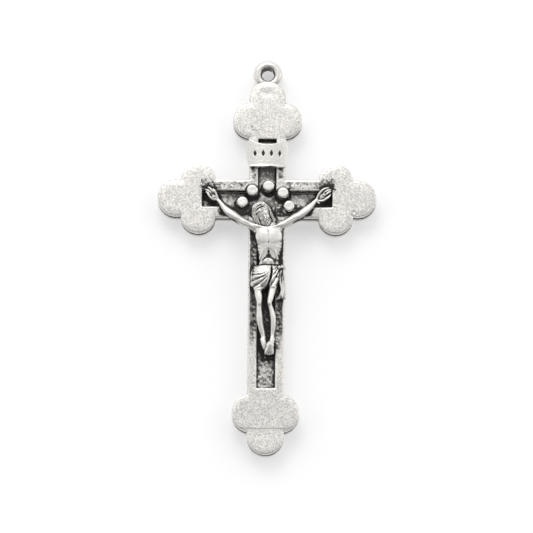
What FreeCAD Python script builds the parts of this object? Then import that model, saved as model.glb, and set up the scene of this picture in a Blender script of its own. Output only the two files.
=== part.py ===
import FreeCAD
import Part
import math
import os

# Budded (trefoil-ended) crucifix pendant, millimetres.
# Frame: +Z up, the front faces -Y, +X to the viewer's right. The origin is the
# centre of the hanging eye's bore, in the middle of the pendant's thickness, so
# the whole cross hangs below it. The two plates meet at y = 0.
# "left" and "right" in piece names are the viewer's.

V = FreeCAD.Vector

# ------------------------------------------------------------------ plates
FRONT_T = 1.30            # pierced front frame, y -1.30 .. 0
BACK_T = 1.30             # plain back plate, y 0 .. +1.30
EDGE_R = 0.24             # worn outer edges of both plates
WINDOW_EDGE_R = 0.09      # worn edge round the cross-shaped window
SEAM = 0.06               # bevel either side of the joint line between the plates

BAR_HALF = 2.40           # upright, half width
ARM_HALF = 2.57           # crossbar, half height
ARM_Z = -16.80            # crossbar centre line
ARM_END_X = 10.5          # crossbar block ends inside the outer lobes

# Lobes: x, z, radius; those off centre are mirrored in x
TOP_LOBE = (0.0, -3.42, 2.42)
TOP_SIDE = (2.17, -6.32, 2.36)
ARM_TIP = (11.84, -16.76, 2.46)
BASE_SIDE = (1.86, -45.27, 2.52)
BASE_LOBE = (0.0, -48.26, 2.40)
ARM_LOBE = (8.97, -14.45, -19.19, 2.28)  # x, upper z, lower z, radius

WIN_HALF = 1.20           # window in the upright, half width
WIN_TOP = -8.82
WIN_BASE = -41.97
WIN_ARM_HALF_X = 8.49     # window in the crossbar, half length
WIN_ARM_HALF_Z = 1.085
WIN_ARM_Z = -16.845

# -------------------------------------------------------- pins and fitting
PIN_GAP = 0.01            # radial clearance round every peened pin
FLUSH = 0.02              # peened ends are filed this far below the back face
PIN_END_Y = BACK_T - FLUSH
HOLE_END_Y = BACK_T + 0.5               # hole cutters run out past the back face
REST_Y = -FRONT_T - 0.01                # where scroll and corpus lie on the rim
PAD_END_Y = -0.01                       # bosses stop just short of the window floor

# ------------------------------------------------------------- hanging eye
EYE_R = 1.97              # outside radius
EYE_BORE_R = 0.80
EYE_T = 2.00              # thickness along the bore
EYE_ROUND = 0.62          # rounding of the eye's outside
EYE_FLARE = 0.50          # flare of the bore's mouths
TANG_R = 0.45             # brazed tang under the eye
TANG_END = -2.60
TANG_TOP = -0.86
TANG_END_GAP = 0.02       # clearance below the tang
TANG_HOLE_H = 3.60
TANG_BORE_GAP = 0.03      # the tang keeps this far off the bore

# -------------------------------------------------------------- halo studs
STUD_R = 0.80             # ball radius
STUD_Y = -1.10            # ball centre
STUD_SHANK_R = 0.35
STUD_SHANK_Y = -0.50      # front end of shank and of its hole
STUD_COLLAR_R = 0.55
STUD_COLLAR_Y = (-0.85, -0.005)
STUD_SEAT_R = 0.87        # clearance pocket in the front frame round a ball
STUDS = {                 # x, z of each ball, an arc above the figure's head
    "halo_stud_top": (0.18, -15.16),
    "halo_stud_inner_left": (-1.91, -15.76),
    "halo_stud_inner_right": (2.07, -16.09),
    "halo_stud_outer_left": (-3.21, -17.36),
    "halo_stud_outer_right": (2.90, -17.86),
}

# ------------------------------------------------------------ title scroll
SCROLL_R = 7.30           # bow radius of its back
SCROLL_T = 0.60
SCROLL_AXIS_Y = REST_Y + math.sqrt(SCROLL_R**2 - BAR_HALF**2)
SCROLL_BLOCK_Y = (-3.40, -0.40)         # block the bowed sheet is cut from
SHELL_BASE_Z, SHELL_H = -13.5, 6.0      # bowed shell, taller than the scroll
SCROLL_EDGES = (          # x, z along each edge: top, right, lower, left
    ((-2.40, -8.95), (-1.35, -9.50), (0.0, -9.74), (1.35, -9.52), (2.40, -8.97)),
    ((2.40, -8.97), (2.74, -10.70), (2.36, -12.71)),
    ((2.36, -12.71), (1.2, -12.81), (0.4, -12.69), (-0.6, -12.81), (-1.5, -12.73),
     (-2.30, -12.74)),
    ((-2.30, -12.74), (-2.76, -10.75), (-2.40, -8.95)),
)
LOZENGE_X = (-1.62, -0.54, 0.54, 1.62)  # engraved ornament on the scroll
LOZENGE_W, LOZENGE_H, LOZENGE_DEEP, LOZENGE_Z = 0.44, 0.96, 0.14, -10.98
LOZENGE_LEAD = 1.0        # cutter starts this far in front of the face
TITLE_PIN_R = 0.25
TITLE_PIN_LET_IN = 0.35   # depth of the pin in the scroll's back
TITLE_PINS = {"title_pin_left": -1.80, "title_pin_right": 1.80}
TITLE_PIN_Z = -10.70

# ------------------------------------------------------------------- nails
NAIL_R = 0.15             # shank radius
NAIL_HEAD_R = 0.24
NAIL_HEAD_SINK = 0.05     # ball centre of the domed head behind its underside
NAIL_OVERLAP = 0.02       # shank runs this far into the head
NAIL_CLEAR = 1.2          # cutters start this far in front of the underside
SPOT_FACE_GAP = 0.02
NAILS = {                 # x, y of the head's underside, z
    "hand_nail_left": (-6.98, -1.95, -16.79),
    "hand_nail_right": (7.39, -1.95, -16.43),
    "foot_nail": (0.55, -2.92, -36.55),
}
NAIL_PADS = {             # boss round each nail: radius, front y
    "hand_nail_left": (0.42, -1.70),
    "hand_nail_right": (0.42, -1.70),
    "foot_nail": (0.50, -2.20),
}

# ------------------------------------------------------------------ corpus
TRUNK_PAD = (0.10, -23.00, 0.80, -1.80)  # boss behind the trunk: x, z, radius, front y
CORPUS_BOUNDS = (-12, 12, -40, -14, -6.0, REST_Y)  # flattens the figure's back

# Elliptical sections: x, y, z of the centre, half width, half depth
TRUNK = (
    (0.12, -1.80, -20.15, 0.75, 0.40),
    (0.12, -1.85, -20.70, 1.75, 0.62),
    (0.20, -1.90, -21.70, 1.84, 0.88),
    (0.24, -1.90, -22.70, 1.74, 0.90),
    (0.32, -1.85, -24.00, 1.56, 0.62),
    (0.32, -1.80, -25.40, 1.32, 0.60),
    (0.20, -1.80, -26.60, 1.50, 0.75),
    (0.05, -1.80, -27.80, 1.45, 0.78),
)
CLOTH = (
    (-0.15, -1.80, -26.02, 1.45, 0.88),
    (-0.40, -1.82, -26.80, 1.66, 1.02),
    (-0.45, -1.82, -27.70, 1.74, 1.06),
    (-0.50, -1.82, -28.50, 1.50, 0.98),
    (-0.55, -1.82, -28.90, 1.00, 0.70),
)
CLOTH_TAIL = (            # hanging end beside the figure's left hip
    (1.75, -1.75, -26.00, 0.45, 0.40),
    (1.95, -1.70, -27.60, 0.36, 0.36),
    (2.05, -1.65, -29.20, 0.36, 0.30),
    (1.98, -1.62, -30.30, 0.48, 0.28),
)

# Limbs: x, y, z, radius at each joint
ARMS_AND_HANDS = (
    # arm on -X, arm on +X
    ((-1.50, -1.85, -20.85, 0.62), (-1.67, -1.92, -20.67, 0.56), (-3.20, -2.0, -19.85, 0.58),
     (-4.58, -1.95, -18.98, 0.52), (-5.44, -1.88, -18.18, 0.44), (-6.33, -1.75, -17.15, 0.28)),
    ((1.60, -1.85, -20.70, 0.62), (1.88, -1.92, -20.47, 0.56), (3.35, -2.0, -19.75, 0.57),
     (4.89, -1.95, -18.84, 0.52), (5.74, -1.88, -17.98, 0.43), (6.63, -1.75, -17.03, 0.28)),
    # hand on -X, hand on +X
    ((-6.33, -1.75, -17.15, 0.26), (-7.03, -1.66, -16.54, 0.34), (-7.62, -1.62, -15.86, 0.22)),
    ((6.63, -1.75, -17.03, 0.27), (7.40, -1.66, -16.36, 0.34), (8.02, -1.62, -15.72, 0.22)),
)
HEAD = (                  # ellipsoids: centre, radii in x, y, z
    ((-0.85, -2.45, -18.85), (1.12, 1.00, 1.22)),
    ((-0.40, -2.62, -19.65), (0.72, 0.86, 1.00)),
)
HAIR_AND_LEGS = (
    # hair to the shoulders
    ((-1.35, -2.20, -19.60, 0.45), (-0.95, -2.00, -20.50, 0.38)),
    ((0.35, -2.20, -19.50, 0.45), (0.55, -2.00, -20.40, 0.38)),
    # legs and feet
    ((-0.75, -1.95, -27.80, 0.70), (-0.87, -2.40, -30.80, 0.42), (-0.80, -2.10, -32.60, 0.45),
     (-0.27, -1.85, -35.30, 0.26), (-0.05, -1.95, -36.70, 0.30)),
    ((1.00, -1.95, -27.80, 0.68), (0.47, -2.50, -30.80, 0.44), (0.86, -2.20, -32.80, 0.47),
     (0.84, -2.05, -35.20, 0.28), (0.60, -2.35, -36.60, 0.38), (0.42, -2.45, -37.30, 0.42)),
)


# ----------------------------------------------------------------- helpers
def disc(x, z, radius, y0, y1):
    return Part.makeCylinder(radius, y1 - y0, V(x, y0, z), V(0, 1, 0))


def slab(x0, x1, z0, z1, y0, y1):
    return Part.makeBox(x1 - x0, y1 - y0, z1 - z0, V(x0, y0, z0))


def fuse_all(shapes):
    return shapes[0].multiFuse(shapes[1:]).removeSplitter()


def largest(shape):
    return max(shape.Solids, key=lambda solid: solid.Volume)


def edges_on(shape, y, tol=1e-4):
    """Edges that lie wholly in the plane at y."""
    return [
        edge for edge in shape.Edges
        if abs(edge.BoundBox.YMin - y) < tol and abs(edge.BoundBox.YMax - y) < tol
    ]


def circles(shape, radius):
    """Circular edges of one radius."""
    return [
        edge for edge in shape.Edges
        if isinstance(edge.Curve, Part.Circle) and abs(edge.Curve.Radius - radius) < 1e-4
    ]


def eased(shape, size, edges, chamfer=False):
    operation = shape.makeChamfer if chamfer else shape.makeFillet
    # The kernel may refuse tangent or merged edges; the shape then stays sharp.
    try:
        done = operation(size, edges)
        if done.isValid() and done.Volume > 0:
            return done
    except Exception:
        pass
    return shape


def save(name, shape):
    solids = shape.Solids
    out = solids[0] if len(solids) == 1 else Part.makeCompound(solids)
    out.exportStep("parts/%s.step" % name)


# ------------------------------------------------------------------ plates
def outline(y0, y1):
    """The cross's outline as one block between y0 and y1."""
    shapes = [
        slab(-BAR_HALF, BAR_HALF, BASE_LOBE[1], TOP_LOBE[1], y0, y1),
        disc(*TOP_LOBE, y0, y1),
        disc(*BASE_LOBE, y0, y1),
        slab(-ARM_END_X, ARM_END_X, ARM_Z - ARM_HALF, ARM_Z + ARM_HALF, y0, y1),
    ]
    lobe_x, z_up, z_low, lobe_r = ARM_LOBE
    for side in (-1, 1):
        for x, z, radius in (TOP_SIDE, BASE_SIDE, ARM_TIP):
            shapes.append(disc(side * x, z, radius, y0, y1))
        x = side * lobe_x
        shapes.append(slab(x - lobe_r, x + lobe_r, z_low, z_up, y0, y1))
        for z in (z_up, z_low):
            shapes.append(disc(x, z, lobe_r, y0, y1))
    for x, z, radius in (TOP_SIDE, BASE_SIDE):
        shapes.append(slab(-x, x, z - radius, z + radius, y0, y1))
    return fuse_all(shapes)


def plate(y0, y1, outer_y):
    """Outline plate, worn on its outer face and bevelled at the joint."""
    blank = outline(y0, y1)
    blank = eased(blank, EDGE_R, edges_on(blank, outer_y))
    return eased(blank, SEAM, edges_on(blank, 0.0), chamfer=True)


def on_window(edge, tol=1e-3):
    """Whether a front-face edge belongs to the window."""
    box = edge.BoundBox
    reach = max(abs(box.XMin), abs(box.XMax))
    in_upright = reach < WIN_HALF + tol
    in_crossbar = abs(edge.CenterOfMass.z - WIN_ARM_Z) < WIN_ARM_HALF_Z + tol
    return (
        reach <= WIN_ARM_HALF_X + tol
        and (in_upright or in_crossbar)
        and WIN_BASE - tol <= box.ZMin
        and box.ZMax <= WIN_TOP + tol
    )


def tang_hole():
    base = V(0, 0, TANG_END - TANG_END_GAP)
    return Part.makeCylinder(TANG_R + PIN_GAP, TANG_HOLE_H, base, V(0, 0, 1))


def title_pin_tip(x):
    return bow_y(x, SCROLL_R) - TITLE_PIN_LET_IN


def title_holes():
    return [
        disc(x, TITLE_PIN_Z, TITLE_PIN_R + PIN_GAP, title_pin_tip(x) - PIN_GAP, HOLE_END_Y)
        for x in TITLE_PINS.values()
    ]


def nail_hole(x, y, z):
    return disc(x, z, NAIL_R + PIN_GAP, y - NAIL_CLEAR, HOLE_END_Y)


def back_plate():
    back = plate(0.0, BACK_T, BACK_T)
    holes = [tang_hole()]
    for x, z in STUDS.values():
        holes.append(disc(x, z, STUD_SHANK_R + PIN_GAP, STUD_SHANK_Y, HOLE_END_Y))
    holes += title_holes()
    holes += [nail_hole(*place) for place in NAILS.values()]
    for hole in holes:
        back = back.cut(hole)
    return back


def front_frame():
    front = plate(-FRONT_T, 0.0, -FRONT_T)
    y0 = -FRONT_T - 1.0
    front = front.cut(fuse_all([
        slab(-WIN_HALF, WIN_HALF, WIN_BASE, WIN_TOP, y0, 1.0),
        slab(-WIN_ARM_HALF_X, WIN_ARM_HALF_X, WIN_ARM_Z - WIN_ARM_HALF_Z,
             WIN_ARM_Z + WIN_ARM_HALF_Z, y0, 1.0),
    ]))
    window_edges = [edge for edge in edges_on(front, -FRONT_T) if on_window(edge)]
    front = eased(front, WINDOW_EDGE_R, window_edges)
    cutters = [disc(x, z, STUD_SEAT_R, y0, 0.5) for x, z in STUDS.values()]
    for cutter in cutters + [tang_hole()] + title_holes():
        front = front.cut(cutter)
    return front


# ---------------------------------------------------------------- fittings
def bail_eye():
    eye = disc(0, 0, EYE_R, -EYE_T / 2, EYE_T / 2)
    eye = eye.makeFillet(EYE_ROUND, circles(eye, EYE_R))
    eye = eye.cut(disc(0, 0, EYE_BORE_R, -EYE_T / 2 - 1, EYE_T / 2 + 1))
    eye = eye.makeFillet(EYE_FLARE, circles(eye, EYE_BORE_R))
    # coped to the crown of the top lobe, with a tang let into the plates' edge
    eye = largest(eye.cut(outline(-FRONT_T - 0.5, BACK_T + 0.5)))
    tang = Part.makeCylinder(TANG_R, TANG_TOP - TANG_END, V(0, 0, TANG_END), V(0, 0, 1))
    tang = tang.cut(disc(0, 0, EYE_BORE_R + TANG_BORE_GAP, -2, 2))
    return eye.fuse(tang).removeSplitter()


def halo_stud(x, z):
    return fuse_all([
        Part.makeSphere(STUD_R, V(x, STUD_Y, z)),
        disc(x, z, STUD_COLLAR_R, *STUD_COLLAR_Y),
        disc(x, z, STUD_SHANK_R, STUD_SHANK_Y, PIN_END_Y),
    ])


def title_pin(x):
    return disc(x, TITLE_PIN_Z, TITLE_PIN_R, title_pin_tip(x), PIN_END_Y)


def nail(x, y, z):
    ball = Part.makeSphere(NAIL_HEAD_R, V(x, y + NAIL_HEAD_SINK, z))
    head = ball.common(disc(x, z, NAIL_HEAD_R + 0.05, y - 1.0, y))
    return fuse_all([head, disc(x, z, NAIL_R, y - NAIL_OVERLAP, PIN_END_Y)])


# ------------------------------------------------------------ title scroll
def bow_y(x, radius):
    """y of the bowed sheet's face of the given radius, at x."""
    return SCROLL_AXIS_Y - math.sqrt(radius**2 - x * x)


def spline_edge(points):
    curve = Part.BSplineCurve()
    curve.interpolate([V(x, 0, z) for x, z in points])
    return curve.toShape()


def lozenge_cutter(x):
    y = bow_y(x, SCROLL_R + SCROLL_T) - LOZENGE_LEAD
    corners = [
        V(x - LOZENGE_W / 2, y, LOZENGE_Z),
        V(x, y, LOZENGE_Z + LOZENGE_H / 2),
        V(x + LOZENGE_W / 2, y, LOZENGE_Z),
        V(x, y, LOZENGE_Z - LOZENGE_H / 2),
    ]
    face = Part.Face(Part.makePolygon(corners + corners[:1]))
    return face.extrude(V(0, LOZENGE_LEAD + LOZENGE_DEEP, 0))


def title_scroll():
    """Parchment with a hollow top edge and bulging sides, bowed forward."""
    y0, y1 = SCROLL_BLOCK_Y
    wire = Part.Wire([spline_edge(points) for points in SCROLL_EDGES])
    block = Part.Face(wire).extrude(V(0, y1 - y0, 0))
    block.translate(V(0, y0, 0))
    base = V(0, SCROLL_AXIS_Y, SHELL_BASE_Z)
    shell = Part.makeCylinder(SCROLL_R + SCROLL_T, SHELL_H, base, V(0, 0, 1)).cut(
        Part.makeCylinder(SCROLL_R, SHELL_H, base, V(0, 0, 1))
    )
    scroll = largest(block.common(shell))
    for cutter in [lozenge_cutter(x) for x in LOZENGE_X] + title_holes():
        scroll = scroll.cut(cutter)
    return scroll


# ------------------------------------------------------------------ corpus
def ellipsoid(centre, radii):
    matrix = FreeCAD.Matrix()
    matrix.scale(*radii)
    shape = Part.makeSphere(1.0).transformGeometry(matrix)
    shape.translate(V(*centre))
    return shape


def limb(joints):
    """Cones between the joints, then a ball at each; neighbouring radii must differ."""
    shapes = []
    for (*start, r0), (*end, r1) in zip(joints, joints[1:]):
        along = V(*end).sub(V(*start))
        shapes.append(Part.makeCone(r0, r1, along.Length, V(*start), along))
    for x, y, z, radius in joints:
        shapes.append(Part.makeSphere(radius, V(x, y, z)))
    return shapes


def section(x, y, z, half_w, half_d):
    """Closed elliptical section; half_w must not be less than half_d."""
    ellipse = Part.Ellipse(V(x + half_w, y, z), V(x, y + half_d, z), V(x, y, z))
    return Part.Wire([ellipse.toShape()])


def loft(stations):
    return Part.makeLoft([section(*station) for station in stations], True, False)


def make_corpus(studs):
    """One casting: head bowed to its right shoulder, arms raised, cloth knotted at
    its left hip, one foot over the other. Flat behind, where it lies on the rim."""
    bits = [loft(CLOTH)]
    for joints in ARMS_AND_HANDS:
        bits += limb(joints)
    bits += [ellipsoid(centre, radii) for centre, radii in HEAD]
    for joints in HAIR_AND_LEGS:
        bits += limb(joints)
    bits.append(loft(CLOTH_TAIL))
    corpus = loft(TRUNK)
    for bit in bits:
        corpus = corpus.fuse(bit)
    corpus = corpus.common(slab(*CORPUS_BOUNDS))

    # bosses behind the palms, feet and trunk, down to the window floor
    pads = [(NAILS[name][0], NAILS[name][2], *pad) for name, pad in NAIL_PADS.items()]
    for x, z, radius, front_y in pads + [TRUNK_PAD]:
        corpus = corpus.fuse(disc(x, z, radius, front_y, PAD_END_Y))

    for x, y, z in NAILS.values():
        corpus = corpus.cut(nail_hole(x, y, z))
        # spot-face under the head
        corpus = corpus.cut(disc(x, z, NAIL_HEAD_R + SPOT_FACE_GAP, y - NAIL_CLEAR, y))
    for stud in studs:
        corpus = corpus.cut(stud)
    return largest(corpus)


# ------------------------------------------------------------------ export
os.makedirs("parts", exist_ok=True)
halo_studs = {name: halo_stud(*place) for name, place in STUDS.items()}
pieces = {
    "back_plate": back_plate(),
    "front_frame": front_frame(),
    "bail_eye": bail_eye(),
    "title_scroll": title_scroll(),
    "corpus": make_corpus(halo_studs.values()),
    **halo_studs,
    **{name: title_pin(x) for name, x in TITLE_PINS.items()},
    **{name: nail(*place) for name, place in NAILS.items()},
}
for piece_name, piece in pieces.items():
    save(piece_name, piece)
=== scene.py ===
"""Looks of a small antique-silver trefoil crucifix pendant, built round its CAD pieces.

It hangs upright: x to the viewer's right, z up, front towards -y. The bail eye is centred
on the origin and the pendant reaches down to about z = -50.7 mm; its two plates meet at y = 0.
The figure is modelled as clay: signed distances on a close grid in millimetres, in
(x, height, z) where height is towards the viewer (-y), skinned by surface nets.
Blackening, with painted shade, painted shadow and painted highlights mixed in, is worked out
point by point, stored as the attribute "tarnish" and read by the metals' shaders.
Everything rides on the one rigid body, "root".
"""

import math

import bpy
import numpy as np
from mathutils import Matrix, Vector
from mathutils.bvhtree import BVHTree
from mathutils.kdtree import KDTree

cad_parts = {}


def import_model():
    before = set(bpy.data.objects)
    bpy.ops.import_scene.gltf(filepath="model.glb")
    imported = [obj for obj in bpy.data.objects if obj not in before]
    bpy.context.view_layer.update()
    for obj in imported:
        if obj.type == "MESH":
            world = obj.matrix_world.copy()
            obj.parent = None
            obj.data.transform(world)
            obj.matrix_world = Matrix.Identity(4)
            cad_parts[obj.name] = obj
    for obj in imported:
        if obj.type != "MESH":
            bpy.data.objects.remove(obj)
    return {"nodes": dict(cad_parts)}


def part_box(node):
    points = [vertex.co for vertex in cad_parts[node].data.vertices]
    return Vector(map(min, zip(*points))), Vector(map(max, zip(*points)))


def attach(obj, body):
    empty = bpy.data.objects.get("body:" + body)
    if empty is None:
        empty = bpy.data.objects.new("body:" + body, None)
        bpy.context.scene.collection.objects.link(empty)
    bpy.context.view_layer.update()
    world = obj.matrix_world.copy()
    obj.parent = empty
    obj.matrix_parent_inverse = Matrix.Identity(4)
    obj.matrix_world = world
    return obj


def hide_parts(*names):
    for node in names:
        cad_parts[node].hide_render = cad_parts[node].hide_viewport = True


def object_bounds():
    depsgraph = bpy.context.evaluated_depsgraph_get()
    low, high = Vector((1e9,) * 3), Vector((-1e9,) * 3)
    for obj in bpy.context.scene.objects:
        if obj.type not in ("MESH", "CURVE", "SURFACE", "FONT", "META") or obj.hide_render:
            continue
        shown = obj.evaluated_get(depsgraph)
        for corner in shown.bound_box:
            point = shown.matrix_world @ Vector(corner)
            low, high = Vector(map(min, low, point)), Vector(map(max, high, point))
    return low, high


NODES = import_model()["nodes"]
CAD_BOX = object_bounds()
MM = 0.001
FAR = 4.0             # mm, a distance standing for "nowhere near"
RIM_H = 1.30          # front of the rim above the plates' joint, mm


# ------------------------------------------------------------------ shared
def ramp(value, start, full):
    """0 at start, 1 at full, smooth between; works either way round."""
    t = np.clip((value - start) / (full - start), 0, 1)
    return t * t * (3 - 2 * t)


def between(value, low_start, low_full, high_full, high_start):
    """1 between the two inner limits, 0 beyond the outer ones."""
    return ramp(value, low_start, low_full) * ramp(value, high_start, high_full)


def spline(rows, steps):
    """Catmull-Rom through rows of numbers."""
    pts = np.array(rows, float)
    if len(pts) < 3:
        return pts
    q = np.vstack([2 * pts[0] - pts[1], pts, 2 * pts[-1] - pts[-2]])
    out = []
    for i in range(1, len(q) - 2):
        for t in np.linspace(0, 1, steps, endpoint=False):
            out.append(0.5 * (2 * q[i] + (q[i + 1] - q[i - 1]) * t
                              + (2 * q[i - 1] - 5 * q[i] + 4 * q[i + 1] - q[i + 2]) * t * t
                              + (3 * q[i] - q[i - 1] - 3 * q[i + 1] + q[i + 2]) * t ** 3))
    out.append(pts[-1])
    return np.array(out)


def relax(verts, edges, share):
    """Move each vertex this share of the way to its neighbours' mean."""
    count = len(verts)
    degree = np.bincount(edges.ravel(), minlength=count).astype(float)
    total = np.stack([np.bincount(edges[:, 0], verts[edges[:, 1], i], count)
                      + np.bincount(edges[:, 1], verts[edges[:, 0], i], count)
                      for i in range(3)], 1)
    return verts + share * (total / degree[:, None] - verts)


def span(places, lo, hi):
    return slice(*np.searchsorted(places, (lo, hi)))


# ------------------------------------------------------------------ clay
def axis(lo, hi, step, fine, ease=0.7):
    """Sample places from lo to hi. fine = (from, to, step) is a closer-spaced stretch."""
    fine_lo, fine_hi, fine_step = fine
    out = [lo]
    while out[-1] < hi:
        t = max(fine_lo - out[-1], out[-1] - fine_hi, 0.0) / ease
        out.append(out[-1] + (fine_step + (step - fine_step) * min(1.0, t)))
    return np.array(out, np.float32)


class Clay:
    """Signed distance, in mm, on a grid; below zero is metal. A shape is (distance, lo, hi)."""

    def __init__(self, xs, hs, zs):
        self.axes = (xs, hs, zs)
        self.dist = np.full((len(xs), len(hs), len(zs)), FAR, np.float32)

    def sample(self, shape, margin):
        """The grid window round a shape, and the shape's distances in it."""
        distance, lo, hi = shape
        window = []
        for places, low, high in zip(self.axes, lo, hi):
            first = max(0, int(np.searchsorted(places, low - margin)) - 1)
            last = min(len(places), int(np.searchsorted(places, high + margin)) + 1)
            window.append(slice(first, max(last, first + 1)))
        grid = np.ix_(*(places[part] for places, part in zip(self.axes, window)))
        return tuple(window), distance(*grid)

    def add(self, shape, blend):
        window, new = self.sample(shape, max(blend, 0.22) + 0.12)
        old = self.dist[window]
        t = np.clip(0.5 + 0.5 * (old - new) / blend, 0, 1)
        self.dist[window] = old * (1 - t) + new * t - blend * t * (1 - t)

    def cut(self, shape, blend):
        window, new = self.sample(shape, max(blend, 0.1) + 0.1)
        new = -new
        old = self.dist[window]
        t = np.clip(0.5 - 0.5 * (old - new) / blend, 0, 1)
        self.dist[window] = old * (1 - t) + new * t + blend * t * (1 - t)

    def ball(self, centre, radii, blend, own_axes=None):
        self.add(ellipsoid(centre, radii, own_axes), blend)

    def limb(self, rows, blend, steps=4, flat=1.0):
        self.add(tube(rows, steps, flat), blend)


def ellipsoid(centre, radii, own_axes=None):
    """own_axes' columns are the ellipsoid's own axes in (x, h, z)."""
    c = np.array(centre, float)
    radii = np.array(radii, float)
    turn = np.eye(3) if own_axes is None else np.array(own_axes, float)

    def distance(x, h, z):
        p = (x - c[0], h - c[1], z - c[2])
        k0 = 0.0
        k1 = 0.0
        for i in range(3):
            u = p[0] * turn[0, i] + p[1] * turn[1, i] + p[2] * turn[2, i]
            k0 = k0 + (u / radii[i]) ** 2
            k1 = k1 + (u / radii[i] ** 2) ** 2
        k0 = np.sqrt(k0)
        k1 = np.sqrt(k1)
        return (k0 * (k0 - 1.0) / np.maximum(k1, 1e-5)).astype(np.float32)

    reach = np.sqrt(((turn * radii[None, :]) ** 2).sum(1))
    return distance, c - reach, c + reach


def tube(rows, steps, flat=1.0):
    """A round limb through (x, h, z, radius) rows; flat < 1 thins it front to back."""
    pts = spline(rows, steps)
    margin = 0.5

    def distance(X, H, Z):
        out = np.full(np.broadcast_shapes(X.shape, H.shape, Z.shape), FAR, np.float32)
        places = (X.ravel(), H.ravel(), Z.ravel())
        for a, b in zip(pts[:-1], pts[1:]):
            lo = np.minimum(a[:3] - a[3], b[:3] - b[3]) - margin
            hi = np.maximum(a[:3] + a[3], b[:3] + b[3]) + margin
            window = tuple(span(*part) for part in zip(places, lo, hi))
            near = [p[part] for p, part in zip(places, window)]
            if not all(p.size for p in near):
                continue
            x, h, z = np.ix_(*near)
            x = x - a[0]
            h = (h - a[1]) / flat
            z = z - a[2]
            v = b[:3] - a[:3]
            v = np.array([v[0], v[1] / flat, v[2]])
            vv = max(float(v @ v), 1e-9)
            t = np.clip((x * v[0] + h * v[1] + z * v[2]) / vv, 0, 1)
            r = a[3] + (b[3] - a[3]) * t
            d = np.sqrt((x - t * v[0]) ** 2 + (h - t * v[1]) ** 2 + (z - t * v[2]) ** 2) - r
            out[window] = np.minimum(out[window], d)
        return out

    radius = pts[:, 3:4]
    return distance, (pts[:, :3] - radius).min(0), (pts[:, :3] + radius).max(0)


def barrel(table, n):
    """A trunk whose cross-section, a superellipse of power n, changes with z.

    Rows of (z, centre x, half width, mid height, front, back).
    """
    t = np.array(sorted(table), float)
    tz = t[:, 0]

    def distance(X, H, Z):
        z = Z.ravel()
        cx, w, mid, front, back = (np.interp(z, tz, t[:, i])[None, None, :] for i in range(1, 6))
        a = np.abs(X - cx) / w
        depth = np.where(H > mid, front, back)
        e = np.abs(H - mid) / depth
        r = (a ** n + e ** n) ** (1 / n)
        slope = (np.sqrt((a ** (n - 1) / w) ** 2 + (e ** (n - 1) / depth) ** 2)
                 * np.maximum(r, 0.25) ** (1 - n))
        d = (r - 1) / np.maximum(slope, 0.3)
        d = np.maximum(d, np.maximum(Z - tz[-1], tz[0] - Z))
        return d.astype(np.float32)

    lo = ((t[:, 1] - t[:, 2]).min(), (t[:, 3] - t[:, 5]).min(), tz[0])
    hi = ((t[:, 1] + t[:, 2]).max(), (t[:, 3] + t[:, 4]).max(), tz[-1])
    return distance, [float(v) for v in lo], [float(v) for v in hi]


class Strokes:
    """Shallow tooling on the front: ridges and grooves, as a height map over (x, z)."""

    def __init__(self, clay):
        self.xs, self.hs, self.zs = clay.axes
        self.rise = np.zeros((len(self.xs), len(self.zs)), np.float32)

    def lines(self, table):
        """Rows of (rise, width, points): a ridge, or a groove where rise is negative."""
        for rise, width, points_xz in table:
            self.line(rise, width, points_xz)

    def line(self, rise, width, points_xz):
        pts = spline(points_xz, 5)
        m = width * 3
        window = (span(self.xs, pts[:, 0].min() - m, pts[:, 0].max() + m),
                  span(self.zs, pts[:, 1].min() - m, pts[:, 1].max() + m))
        x, z = np.ix_(self.xs[window[0]], self.zs[window[1]])
        best = np.full((x.size, z.size), 1e9, np.float32)
        run = np.zeros_like(best)
        lengths = np.sqrt(((pts[1:] - pts[:-1]) ** 2).sum(1))
        total = max(lengths.sum(), 1e-6)
        start = 0.0
        for a, b, length in zip(pts[:-1], pts[1:], lengths):
            v = b - a
            t = np.clip(((x - a[0]) * v[0] + (z - a[1]) * v[1]) / max(v @ v, 1e-9), 0, 1)
            square = (x - a[0] - t * v[0]) ** 2 + (z - a[1] - t * v[1]) ** 2
            hit = square < best
            best = np.where(hit, square, best)
            run = np.where(hit, (start + t * length) / total, run)
            start += length
        profile = np.exp(-best / width ** 2)
        # fade out at both ends
        profile *= np.clip(np.sin(np.pi * np.clip(run * 0.9 + 0.05, 0, 1)) * 1.6, 0, 1)
        self.rise[window] += rise * profile

    def pleats(self, box, label, crests, rises, mask):
        """Round crests with sharp valleys between them, at the given values of label(x, z)."""
        x0, x1, z0, z1 = box
        window = (span(self.xs, x0, x1), span(self.zs, z0, z1))
        x, z = np.ix_(self.xs[window[0]], self.zs[window[1]])
        place = label(x, z)
        crest = np.array(crests, float)
        rise = np.array(rises, float)
        i = np.clip(np.searchsorted(crest, place) - 1, 0, len(crest) - 2)
        t = np.clip((place - crest[i]) / (crest[i + 1] - crest[i]), 0, 1)
        s = np.abs(2 * t - 1)
        top = np.where(t < 0.5, rise[i], rise[i + 1])
        low = 0.25 * np.minimum(rise[i], rise[i + 1])
        height = low + (top - low) * (1 - (1 - s) ** 2) * (0.75 + 0.25 * s)
        self.rise[window] += (height * mask(x, z)).astype(np.float32)

    def apply(self, clay, none_below=1.45, full_above=1.9):
        w = np.clip((self.hs - none_below) / (full_above - none_below), 0, 1)
        a = self.rise
        for _ in range(2):
            a[1:-1] = 0.25 * a[:-2] + 0.5 * a[1:-1] + 0.25 * a[2:]
            a[:, 1:-1] = 0.25 * a[:, :-2] + 0.5 * a[:, 1:-1] + 0.25 * a[:, 2:]
        clay.dist -= a[:, None, :] * w[None, :, None]


# ------------------------------------------------------------------ skinning
def quad_edges(quads):
    return np.concatenate([quads[:, [0, 1]], quads[:, [1, 2]], quads[:, [2, 3]], quads[:, [3, 0]]])


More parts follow.
